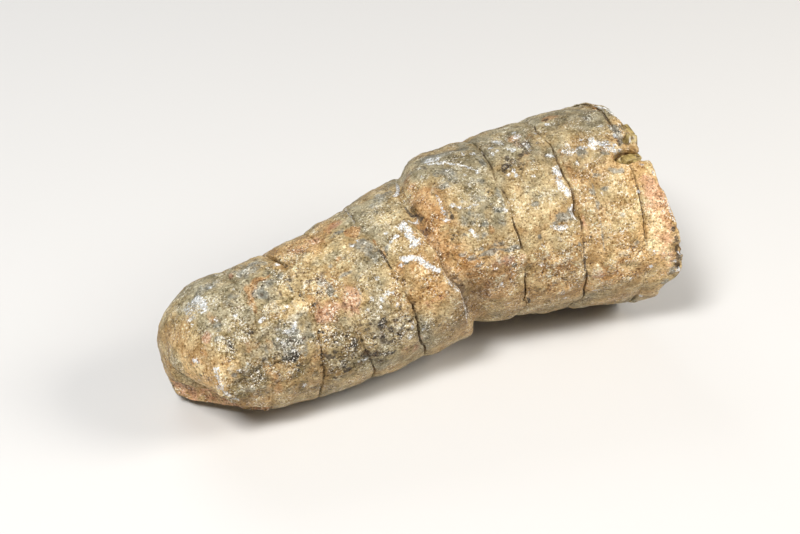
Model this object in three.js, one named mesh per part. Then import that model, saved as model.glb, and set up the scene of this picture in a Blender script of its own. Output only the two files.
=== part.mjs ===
// Fossil orthoceras: the natural stone cast of a straight, tapering nautiloid shell, lying on its side.
// One solid, in millimetres, +Z up. +X runs from the narrow (apical) end to the wide (living-chamber) end,
// -Y is the better side of the specimen, and the origin is at the bottom centre of the bounding box.
import * as THREE from 'three';
import { mergeVertices } from 'three/addons/utils/BufferGeometryUtils.js';

// ---------------------------------------------------------------- driving dimensions

// The cast is broken across near its middle, and the wide length is shifted against the narrow one.
// Each row is a section: place along the cast, sideways offset, height of the centre, radius.
const NARROW_LENGTH = [
  [-4, 0.3, 12.9, 12.4],
  [8, 0.0, 13.4, 13.1],
  [21, -0.3, 14.1, 14.2],
  [34, -0.2, 15.2, 15.3],
  [46, 0.6, 17.4, 16.4],
  [62, 1.7, 20.6, 17.6],
];
const WIDE_LENGTH = [
  [50, 3.9, 21.3, 16.8],
  [60, 3.5, 21.4, 17.3],
  [75, 2.9, 21.5, 18.5],
  [89, 1.9, 21.3, 20.0],
  [106, -0.2, 21.2, 21.8],
];
const BREAK_SHOULDER = 3.5; // how far past the break the wide length reaches its full size
const BELLY_WEAR = 0.45; // how much the underside is worn flat where it lies

// Sutures: the seams between the filled chambers. A seam is a plane, a little oblique:
// x = at + lean * cos(angle - towards), the angle in degrees round the cast, 0 on top and 90 on the -Y side.
const SEAMS = [
  { at: 18.1, lean: -0.4, towards: -20 },
  { at: 28.1, lean: -1.6, towards: -25 },
  { at: 37.0, lean: -2.2, towards: -20 },
  { at: 46.9, lean: -3.9, towards: -20 },
  null, // the break, which has an outline of its own
  { at: 71.8, lean: -1.5, towards: 40 },
  { at: 84.4, lean: -1.7, towards: 40 },
  { at: 97.2, lean: -1.9, towards: 70 },
];
const BREAK = SEAMS.indexOf(null) + 1;
const SEAM_DEPTH = 0.5;
const SEAM_HALF_WIDTH = 0.6;
const CHAMBER_SWELL = 0.3; // how far a chamber swells between its seams

// Outlines round the cast: [angle, x].
const BREAK_LINE = [
  [-140, 59.5], [-80, 58.4], [-37, 56.8], [6, 53.4], [30, 53.0], [49, 54.1],
  [64, 55.7], [80, 57.6], [98, 58.8], [113, 60.5], [140, 61.3], [180, 60.6],
];
const WIDE_RIM = [
  [-150, 100.6], [-100, 99.4], [-55, 98.6], [-15, 98.7], [12, 99.5], [35, 99.5],
  [52, 99.9], [66, 101.1], [85, 102.4], [98, 102.9], [110, 101.8], [124, 100.4], [150, 99.6],
];
// The break opens into a channel on the -Y flank: steep on the narrow side, easy on the wide side.
const BREAK_CHANNEL = { depth: 1.7, towards: 75, steep: 0.7, easy: 3.4 };

// The narrow end: the domed side of a septum, with a piece broken from its lower front.
const NARROW_RIM = [
  [-150, 6.0], [-110, 7.0], [-60, 10.0], [-15, 11.0], [20, 10.6], [45, 8.8],
  [62, 7.7], [80, 8.5], [92, 10.0], [104, 12.3], [128, 17.0], [150, 12.0], [175, 7.0],
];
const DOME_TOP = { x: 2.9, y: 2.5, z: 14.6 };
const DOME_POWER = { round: 2.7, broken: 0.95, brokenTowards: 140 };
const CORNER_BREAK = { x: 7.6, perY: -0.88, top: 6.3, ledge: 2.5 }; // a fresh face across the lowest corner
const UNDER_BREAK = { z: 4.6, perX: -0.19, perY: -0.35 }; // and one underneath it

// The wide end: a shallow dish, the hollow side of a septum.
const DISH_MIDDLE = { x: 96.0, y: 0.3, z: 21.0 };
const DISH_POWER = 2.2;
const SIPHON = { y: 1.5, z: 1.0, radius: 3.2, depth: 1.2 }; // from the middle of the dish

// A bite out of the rim at the wide end.
const BITE = { x: 98.4, angle: 28, alongX: 3.6, around: 1.9, depth: 3.8 };

// ---------------------------------------------------------------- mesh density

const SIDES = 64;
const FACE_STEPS = 7;
const DISH_STEPS = 6;
const CHAMBER_STEPS = [0, 0.07, 0.25, 0.5, 0.75, 0.93];

// ---------------------------------------------------------------- helpers

const radians = THREE.MathUtils.degToRad;

/** Smooth curve through rows of [x, ...values], at x: one value for each column after the first. */
function through(rows, x) {
  const last = rows.length - 1;
  let i = 0;
  while (i < last - 1 && x > rows[i + 1][0]) i += 1;
  const [a, b] = [rows[i], rows[i + 1]];
  const before = rows[Math.max(i - 1, 0)];
  const after = rows[Math.min(i + 2, last)];
  const span = b[0] - a[0];
  const t = (x - a[0]) / span;
  return a.slice(1).map((value, k) => {
    const column = k + 1;
    const slopeA = (b[column] - before[column]) / (b[0] - before[0]);
    const slopeB = (after[column] - a[column]) / (after[0] - a[0]);
    return (
      value * (2 * t ** 3 - 3 * t ** 2 + 1) +
      slopeA * span * (t ** 3 - 2 * t ** 2 + t) +
      b[column] * (3 * t ** 2 - 2 * t ** 3) +
      slopeB * span * (t ** 3 - t ** 2)
    );
  });
}

/** Smooth closed outline round the cast through [angle, x] points, at an angle in degrees. */
function roundTheCast(points, angle) {
  const closed = [
    ...points.slice(-2).map(([a, x]) => [a - 360, x]),
    ...points,
    ...points.slice(0, 3).map(([a, x]) => [a + 360, x]),
  ];
  const wrapped = THREE.MathUtils.euclideanModulo(angle + 180, 360) - 180;
  return through(closed, wrapped)[0];
}

const bump = (distance, halfWidth) => Math.exp(-((distance / halfWidth) ** 2));
const smoothStep = (x, low, high) => THREE.MathUtils.smoothstep(x, low, high);

// ---------------------------------------------------------------- the shape of the cast

/** x of seam number i (0 is the narrow face's edge, the last is the wide rim) at an angle in degrees. */
function seamX(i, angle) {
  if (i === 0) return roundTheCast(NARROW_RIM, angle);
  if (i > SEAMS.length) return roundTheCast(WIDE_RIM, angle);
  const seam = SEAMS[i - 1];
  if (!seam) return roundTheCast(BREAK_LINE, angle);
  return seam.at + seam.lean * Math.cos(radians(angle - seam.towards));
}

/** Centre and radius at x: the narrow length before the break and the wide one after it. */
function section(x, angle) {
  const breakX = seamX(BREAK, angle);
  const share = smoothStep(x, breakX - 0.5, breakX + BREAK_SHOULDER);
  const narrow = through(NARROW_LENGTH, Math.min(x, 62));
  const wide = through(WIDE_LENGTH, Math.max(x, 50));
  return narrow.map((value, k) => THREE.MathUtils.lerp(value, wide[k], share));
}

/** How far the surface stands out of the plain section, in mm, at a share t of the way along a chamber. */
function relief(x, angle, t) {
  const swell = CHAMBER_SWELL * (4 * t * (1 - t)) ** 0.7;
  let seams = 0;
  for (let i = 1; i <= SEAMS.length; i += 1) {
    if (i === BREAK) continue;
    seams += SEAM_DEPTH * bump(x - seamX(i, angle), SEAM_HALF_WIDTH);
  }
  return swell - seams - breakChannel(x - seamX(BREAK, angle) - 0.8, angle);
}

/** Depth of the channel along the break, at a distance past it. */
function breakChannel(distance, angle) {
  const { depth, towards, steep, easy } = BREAK_CHANNEL;
  const facing = 0.15 + 0.85 * (0.5 + 0.5 * Math.cos(radians(angle - towards)));
  return depth * facing * bump(distance, distance < 0 ? steep : easy);
}

/** A point in the flank, a share t of the way along a chamber. */
function flankPoint(chamber, t, angle) {
  const x = THREE.MathUtils.lerp(seamX(chamber, angle), seamX(chamber + 1, angle), t);
  const [side, height, radius] = section(x, angle);
  const alongBite = bump(x - BITE.x, BITE.alongX);
  const aroundBite = bump(radians(angle - BITE.angle) * radius, BITE.around);
  const r = radius + relief(x, angle, t) - BITE.depth * alongBite * aroundBite;
  return new THREE.Vector3(x, side - r * Math.sin(radians(angle)), height + r * Math.cos(radians(angle)));
}

/** A point in the narrow end's dome, share 0 at its top and 1 at the flank. */
function domePoint(share, angle) {
  const rim = flankPoint(0, 0, angle);
  const broken = Math.max(0, Math.cos(radians(angle - DOME_POWER.brokenTowards)));
  const power = THREE.MathUtils.lerp(DOME_POWER.round, DOME_POWER.broken, broken);
  return new THREE.Vector3(
    THREE.MathUtils.lerp(DOME_TOP.x, rim.x, share ** power),
    THREE.MathUtils.lerp(DOME_TOP.y, rim.y, share),
    THREE.MathUtils.lerp(DOME_TOP.z, rim.z, share),
  );
}

/** A point in the wide end's dish, share 1 at the rim and 0 at its middle. */
function dishPoint(share, angle) {
  const rim = flankPoint(SEAMS.length, 1, angle);
  const { x: middleX, y: side, z: height } = DISH_MIDDLE;
  const y = THREE.MathUtils.lerp(side, rim.y, share);
  const z = THREE.MathUtils.lerp(height, rim.z, share);
  const fromSiphon = Math.hypot(y - side - SIPHON.y, z - height - SIPHON.z);
  const siphon = SIPHON.depth * bump(fromSiphon, SIPHON.radius);
  return new THREE.Vector3(THREE.MathUtils.lerp(middleX, rim.x, share ** DISH_POWER) - siphon, y, z);
}

/** Cuts the broken corner of the narrow end and the worn belly. */
function breakAndWear(point) {
  const aboveCorner = Math.max(0, point.z - CORNER_BREAK.top);
  const corner = CORNER_BREAK.x + CORNER_BREAK.perY * point.y - CORNER_BREAK.ledge * aboveCorner;
  point.x = Math.max(point.x, corner);
  const under = UNDER_BREAK.z + UNDER_BREAK.perX * point.x + UNDER_BREAK.perY * point.y;
  if (point.x < 30) point.z = Math.max(point.z, under);
  point.z = Math.max(point.z, BELLY_WEAR);
  return point;
}

// ---------------------------------------------------------------- the solid

/** Rows of the surface from the narrow face's middle to the wide dish's middle, as functions of angle. */
function rows() {
  const list = [];
  for (let i = 0; i < FACE_STEPS; i += 1) {
    const share = Math.sin((i / FACE_STEPS) * (Math.PI / 2)) ** 0.9;
    list.push((angle) => domePoint(share, angle));
  }
  for (let chamber = 0; chamber <= SEAMS.length; chamber += 1) {
    for (const t of CHAMBER_STEPS) list.push((angle) => flankPoint(chamber, t, angle));
  }
  for (let i = DISH_STEPS; i >= 0; i -= 1) {
    const share = i / DISH_STEPS;
    list.push((angle) => dishPoint(share, angle));
  }
  return list;
}

/** The lathe gives the closed grid of rows and sides; each grid point then takes its place in the cast. */
function castGeometry() {
  const surface = rows();
  const last = surface.length - 1;
  const profile = surface.map((_, i) => new THREE.Vector2(i === 0 || i === last ? 0 : 1, i));
  const geometry = new THREE.LatheGeometry(profile, SIDES);
  const position = geometry.getAttribute('position');
  for (let side = 0; side <= SIDES; side += 1) {
    const angle = (side % SIDES) * (360 / SIDES);
    surface.forEach((pointAt, row) => {
      const point = breakAndWear(pointAt(angle));
      position.setXYZ(side * surface.length + row, point.x, point.y, point.z);
    });
  }
  geometry.deleteAttribute('normal');
  geometry.deleteAttribute('uv');
  const merged = mergeVertices(geometry, 1e-3);
  const box = new THREE.Box3().setFromBufferAttribute(merged.getAttribute('position'));
  const middle = box.getCenter(new THREE.Vector3());
  return merged.translate(-middle.x, -middle.y, -box.min.z);
}

const stone = new THREE.MeshStandardMaterial({ color: 0xb08e66, roughness: 0.85, metalness: 0 });
const cast = new THREE.Mesh(castGeometry(), stone);
cast.name = 'fossil_cast';
cast.geometry.computeVertexNormals();

const fossil = new THREE.Group();
fossil.name = 'fossil_orthoceras';
fossil.add(cast);

export default fossil;
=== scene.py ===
"""Fossil orthoceras: a straight chambered shell turned to limestone, broken across, lying on its side.

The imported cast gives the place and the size. One closed skin of stone stands for it, with its
seams, its shifted break, its broken narrow end, its dished wide end and its stains, and a few
honey-coloured calcite crystals sit in the notch of the wide rim. Sizes are in millimetres along
the specimen, x from the narrow end and angles round it, 0 on top and 90 on the -Y flank.
"""

import itertools
import logging
import math
from dataclasses import dataclass, field
from enum import Enum

import bmesh
import bpy
import numpy as np
from mathutils import Euler, Matrix, Vector


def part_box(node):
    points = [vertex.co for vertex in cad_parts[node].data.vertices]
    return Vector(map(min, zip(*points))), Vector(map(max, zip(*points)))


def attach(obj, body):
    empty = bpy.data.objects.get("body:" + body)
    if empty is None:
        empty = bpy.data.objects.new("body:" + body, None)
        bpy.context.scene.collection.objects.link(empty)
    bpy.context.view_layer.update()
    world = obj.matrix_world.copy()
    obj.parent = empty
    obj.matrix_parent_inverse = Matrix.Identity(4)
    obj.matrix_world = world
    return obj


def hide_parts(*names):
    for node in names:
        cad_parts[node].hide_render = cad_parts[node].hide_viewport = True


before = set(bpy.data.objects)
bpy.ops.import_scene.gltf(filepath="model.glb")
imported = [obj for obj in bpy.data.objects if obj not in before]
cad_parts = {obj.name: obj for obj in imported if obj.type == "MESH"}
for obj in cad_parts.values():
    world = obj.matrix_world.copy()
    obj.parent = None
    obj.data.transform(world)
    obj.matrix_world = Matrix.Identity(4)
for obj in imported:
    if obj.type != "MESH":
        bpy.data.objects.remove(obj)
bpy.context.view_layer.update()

NODE = "fossil_cast"
MM = 0.001
FAR = 99.0
LOG = logging.getLogger("fossil")

Array = np.ndarray
Paint = tuple[float, float, float, float]
Socket = bpy.types.NodeSocket


# ------------------------------------------------------------------ curves and noise


def smooth_step(value: Array, low: float, high: float) -> Array:
    """Rises smoothly from 0 at low to 1 at high.

    Args:
        value: Numbers to map.
        low: Where the rise starts.
        high: Where it ends, which may be below low for a fall.

    Returns:
        An array of numbers from 0 to 1.
    """
    share = np.clip((value - low) / (high - low), 0.0, 1.0)
    return share * share * (3.0 - 2.0 * share)


def hump(distance: Array, half_width: Array | float) -> Array:
    """A bell that is 1 at distance 0 and fades over half_width."""
    return np.exp(-((distance / half_width) ** 2))


def fading(past: Array, length: float) -> Array:
    """1 up to a line, and less and less past it."""
    return np.exp(-np.maximum(past, 0) / length)


def turn_between(angle: Array, middle: float) -> Array:
    """Degrees from middle to angle, the short way round."""
    return (angle - middle + 180.0) % 360.0 - 180.0


def soft_max(first: Array, second: Array, rounding: float) -> Array:
    """The larger of two heights, with the corner between them rounded off.

    Args:
        first: Heights.
        second: Heights to compare with.
        rounding: How wide the rounding is.

    Returns:
        The larger heights.
    """
    near = np.clip(rounding - np.abs(first - second), 0.0, None) / rounding
    return np.maximum(first, second) + near**2 * rounding / 4


@dataclass(frozen=True)
class Rows:
    """A smooth curve through rows of (place, value, value ...).

    Attributes:
        rows: The rows, in order of place.
    """

    rows: tuple[tuple[float, ...], ...]

    def at(self, place: Array) -> Array:
        """Reads the curve.

        Args:
            place: Where to read it.

        Returns:
            An array with one column for each value of a row.
        """
        rows = np.asarray(self.rows, dtype=float)
        last = len(rows) - 1
        i = np.clip(np.searchsorted(rows[1:last, 0], place), 0, last - 1)
        start, end = rows[i], rows[i + 1]
        before, after = rows[np.maximum(i - 1, 0)], rows[np.minimum(i + 2, last)]
        span = (end - start)[..., :1]
        t = (place - start[..., 0])[..., None] / span
        slope_start = (end - before)[..., 1:] / (end - before)[..., :1]
        slope_end = (after - start)[..., 1:] / (after - start)[..., :1]
        return (
            start[..., 1:] * (2 * t**3 - 3 * t**2 + 1)
            + slope_start * span * (t**3 - 2 * t**2 + t)
            + end[..., 1:] * (3 * t**2 - 2 * t**3)
            + slope_end * span * (t**3 - t**2)
        )


@dataclass(frozen=True)
class Ring:
    """A smooth closed line round the cast.

    Attributes:
        points: Pairs of (angle, value), in order of angle.
    """

    points: tuple[tuple[float, float], ...]

    def at(self, angle: Array) -> Array:
        """Reads the line.

        Args:
            angle: Degrees round the cast.

        Returns:
            The value at each angle.
        """
        before = [(a - 360.0, v) for a, v in self.points[-2:]]
        after = [(a + 360.0, v) for a, v in self.points[:3]]
        return Rows((*before, *self.points, *after)).at(turn_between(angle, 0.0))[..., 0]


@dataclass(frozen=True)
class Grain:
    """Solid noise that is the same at every run.

    Attributes:
        seed: Which noise.
    """

    seed: int

    def _table(self) -> tuple[Array, Array]:
        """What the noise is made from.

        Returns:
            The shuffled numbers, and 256 directions.
        """
        draw = np.random.default_rng(self.seed)
        directions = draw.normal(size=(256, 3))
        directions /= np.linalg.norm(directions, axis=1, keepdims=True)
        return draw.permutation(256), directions

    @staticmethod
    def _key(table: Array, cell: Array) -> Array:
        """Picks a number for each whole cell.

        Args:
            table: The shuffled numbers.
            cell: Rows of three whole numbers.

        Returns:
            One number of the table for each row.
        """
        first = table[cell[:, 0] & 255]
        second = table[(first + cell[:, 1]) & 255]
        return table[(second + cell[:, 2]) & 255]

    def lumps(self, points: Array, size: float) -> Array:
        """Rounded lumps.

        Args:
            points: Places in millimetres.
            size: Size of a lump, in millimetres.

        Returns:
            Numbers from about -1 to 1.
        """
        table, directions = self._table()
        scaled = points / size
        cell = np.floor(scaled).astype(int)
        local = scaled - cell
        fade = local**3 * (local * (local * 6 - 15) + 10)
        total = np.zeros(len(points))
        for corner in itertools.product((0, 1), repeat=3):
            offset = np.array(corner)
            key = self._key(table, cell + offset)
            dot = (directions[key] * (local - offset)).sum(axis=1)
            total += dot * np.where(offset, fade, 1 - fade).prod(axis=1)
        return total * 1.7

    def pebbles(self, points: Array, size: float) -> Array:
        """0 along sharp creases and up to 1 on the lumps between them."""
        return np.clip(np.abs(self.lumps(points, size)) * 1.8, 0.0, 1.0)

    def cells(self, points: Array, size: float) -> tuple[Array, Array]:
        """Scattered seeds.

        Args:
            points: Places in millimetres.
            size: Mean distance between seeds, in millimetres.

        Returns:
            The distance to the nearest seed in cell sizes, and a number from 0 to 1 for that seed.
        """
        table, _ = self._table()
        scaled = points / size
        cell = np.floor(scaled).astype(int)
        nearest = np.full(len(points), FAR)
        chance = np.zeros(len(points))
        for offset in itertools.product((-1, 0, 1), repeat=3):
            other = cell + np.array(offset)
            keys = [self._key(table, other + 31 * k) for k in range(1, 4)]
            seed = other + np.stack(keys, axis=1) / 256.0
            distance = np.linalg.norm(seed - scaled, axis=1)
            closer = distance < nearest
            nearest[closer] = distance[closer]
            chance[closer] = keys[0][closer] / 256.0
        return nearest, chance


@dataclass(frozen=True)
class Layer:
    """One layer of lumpy noise.

    Attributes:
        seed: Which noise.
        size: Size of its largest lumps, in millimetres.
        height: How far it swings to each side of 0.
        octaves: How many sizes of lumps lie on each other, each half as large and strong as the last.
    """

    seed: int
    size: float
    height: float = 1.0
    octaves: int = 1

    def at(self, points: Array) -> Array:
        """Reads the layer.

        Args:
            points: Places in millimetres.

        Returns:
            Numbers from about -height to height.
        """
        total = np.zeros(len(points))
        for octave in range(self.octaves):
            layer = Grain(self.seed + 17 * octave)
            total += layer.lumps(points, self.size / 2**octave) / 2**octave
        return total / (2 - 0.5 ** (self.octaves - 1)) * self.height


@dataclass(frozen=True)
class Edge:
    """The ragged edge of a mark.

    Attributes:
        uneven: How far noise moves it.
        outer: Where it starts, in half sizes of the mark.
        inner: Where the mark is full.
    """

    uneven: float
    outer: float
    inner: float

    def at(self, away: Array, ragged: Array) -> Array:
        """How full the mark is, where away is the distance in half sizes."""
        return smooth_step(away + self.uneven * ragged, self.outer, self.inner)


# ------------------------------------------------------------------ marks on the stone


class Pigment(Enum):
    """What colours a spot of the stone. The value is its place in the stain attributes."""

    CHALK = 0
    SLATE = 1
    TAR = 2
    RUST = 3
    CREAM = 4
    ROSE = 5
    OLIVE = 6
    # Grime, together with painted shade in the valley and the crevices.
    DIRT_AND_SHADE = 7
    # Wear on the crests, together with a painted highlight there.
    WORN_AND_HIGHLIGHT = 8


@dataclass(frozen=True)
class Mark:
    """An oval place on the skin.

    Attributes:
        x: Its middle along the cast.
        angle: Its middle round the cast, in degrees.
        along: Half its length along the cast.
        around: Half its width round the cast.
        strength: How full its colour is, or how much it adds.
        turn: Degrees it is turned on the surface.
    """

    x: float
    angle: float
    along: float
    around: float
    strength: float = 1.0
    turn: float = 0.0


@dataclass(frozen=True)
class Lump(Mark):
    """A rise of the skin as high as its strength, or a hollow where that is below 0.

    Attributes:
        edge: 1 for a bell, more for a flat top with steep sides.
    """

    edge: float = 1.0


@dataclass(frozen=True)
class RoughZone(Mark):
    """A part of the skin with wrinkled bark as high as its strength.

    Attributes:
        pits: Depth of its pits.
    """

    pits: float = 0.0


def marks(kind: type[Mark], *rows: tuple[float, ...]) -> tuple[Mark, ...]:
    """Makes a mark of one kind from each row of its numbers."""
    return tuple(kind(*row) for row in rows)


@dataclass(frozen=True)
class Streak:
    """A thin line on the stone.

    Attributes:
        points: (x, angle) points that the line runs through.
        half_width: Half its width.
        strength: How full its colour is.
        height: How far it stands out, or in if below 0.
    """

    points: tuple[tuple[float, float], ...]
    half_width: float
    strength: float
    height: float


@dataclass(frozen=True)
class Seam:
    """A groove between two chambers, or a ledge across one.

    Attributes:
        line: Where it runs.
        depth: How deep it is round the cast.
        half_width: Half its width.
        step: How much higher its wide side stands.
    """

    line: Ring
    depth: Ring
    half_width: float = 0.2
    step: float = 0.0


@dataclass(frozen=True)
class WildPatch:
    """How a pigment lies where no mark of it is placed.

    Attributes:
        size: Size of a patch.
        cover: Noise level at which it starts, so more is rarer.
    """

    size: float
    cover: float
    strength: float


@dataclass(frozen=True)
class MouthRing:
    """A ring of pigment round the siphuncle's mouth.

    Attributes:
        radius: How far out it lies, in radii of the mouth.
        half_width: Half its width, in the same.
    """

    pigment: Pigment
    strength: float
    radius: float
    half_width: float


SEAMS: tuple[Seam | None, ...] = (
    Seam(
        Ring((
            (-150, 18), (-90, 17.6), (-40, 17.5), (-16, 17.5), (0, 17.8), (11, 18.1), (22, 18.1), (35, 17.9),
            (60, 18.6), (95, 18.4), (130, 18.6), (165, 18.4),
        )),
        Ring(((-150, 0.3), (-70, 0.4), (-16, 0.35), (0, 0.2), (20, 0.1), (60, 0.08), (120, 0.1))),
        0.1,
    ),
    Seam(
        Ring((
            (-150, 28.6), (-95, 27.4), (-50, 26.5), (-24, 26.3), (-12, 26.75), (-4, 27.3), (8, 27),
            (22, 26.7), (35, 27.8), (52, 28.4), (77, 28.4), (95, 28.6), (113, 28.4), (140, 29), (170, 29.3),
        )),
        Ring((
            (-150, 0.5), (-80, 0.5), (-30, 0.9), (-14, 1.4), (-5, 1), (2, 0.2), (50, 0.1), (68, 0.3),
            (95, 0.5), (112, 0.7), (150, 0.5),
        )),
        0.13,
    ),
    Seam(
        Ring((
            (-150, 38.6), (-90, 36.6), (-45, 35.2), (0, 34.9), (25, 34.6), (50, 35.5), (70, 36.1), (80, 36.5),
            (90, 37.2), (98, 38), (110, 39), (119, 39.6), (145, 40), (175, 39.4),
        )),
        Ring(((-150, 0.5), (-60, 0.5), (-20, 0.3), (0, 0.1), (60, 0.08), (76, 0.35), (100, 0.6), (125, 0.6))),
        0.11,
    ),
    Seam(
        Ring((
            (-150, 49.4), (-100, 46.9), (-50, 44.2), (-25, 43.5), (-12, 43.2), (-2, 42.7), (15, 43.5),
            (30, 44.2), (44, 44.9), (61, 46.2), (76, 47.4), (94, 48.1), (103, 48.6), (112, 49.8), (122, 50.5),
            (150, 51.2),
        )),
        Ring((
            (-150, 0.5), (-60, 0.55), (-12, 0.5), (3, 0.1), (20, 0.1), (35, 0.2), (50, 0.15), (66, 0.3),
            (80, 0.7), (105, 0.75), (120, 0.7),
        )),
        0.11,
    ),
    None,
    Seam(
        Ring((
            (-150, 72.6), (-100, 72.6), (-60, 72.2), (-25, 71.9), (-15, 71.5), (-5, 71.2), (1, 70.7),
            (8, 70.7), (21, 70.1), (32, 70.4), (40, 70.5), (52, 70.1), (58, 70.4), (67, 70.7), (69.5, 70.9),
            (71.5, 71.5), (79, 71.6), (85, 71.2), (91, 71.1), (100, 71.4), (105, 71.6), (109, 71.4),
            (112, 72.3), (123, 72.1), (150, 72.5),
        )),
        Ring((
            (-150, 0.6), (-60, 0.6), (-20, 0.8), (0, 0.75), (15, 0.55), (30, 0.35), (45, 0.45), (55, 0.7),
            (67, 0.95), (70, 0.2), (82, 0.25), (90, 0.7), (102, 0.95), (112, 0.5), (130, 0.6),
        )),
        0.11, -0.12,
    ),
    Seam(
        Ring((
            (-150, 85.6), (-100, 85.6), (-60, 85.3), (-28, 84.8), (-20, 84.2), (-13, 83.9), (-7, 83.2),
            (3, 83.2), (10, 83.4), (16, 83.1), (23, 82.8), (31, 82.65), (40, 83.1), (48, 82.8), (53, 82.5),
            (60, 83.1), (68, 83), (82, 83.2), (96, 83.7), (102, 83.9), (109, 83.9), (114, 84.4), (119, 84.6),
            (126, 83.4), (150, 84.4),
        )),
        Ring((
            (-150, 0.6), (-60, 0.6), (-22, 0.8), (-5, 0.6), (15, 0.8), (35, 0.9), (52, 0.9), (62, 0.35),
            (72, 0.12), (90, 0.15), (97, 0.8), (110, 1), (120, 0.9), (135, 0.6),
        )),
        0.11, -0.15,
    ),
    Seam(
        Ring((
            (-150, 98.2), (-110, 98), (-60, 97.6), (-12, 97.3), (3, 96.6), (11, 96.3), (20, 95.6), (35, 95.5),
            (56, 95.4), (76, 95.3), (100, 95.8), (130, 96.8), (165, 97.8),
        )),
        Ring((
            (-150, 0.3), (-60, 0.4), (-10, 0.6), (10, 0.5), (20, 0.1), (34, 0.3), (45, 0.55), (70, 0.55),
            (82, 0.15), (110, 0.12), (135, 0.4),
        )),
        0.1, 0.08,
    ),
)

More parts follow.
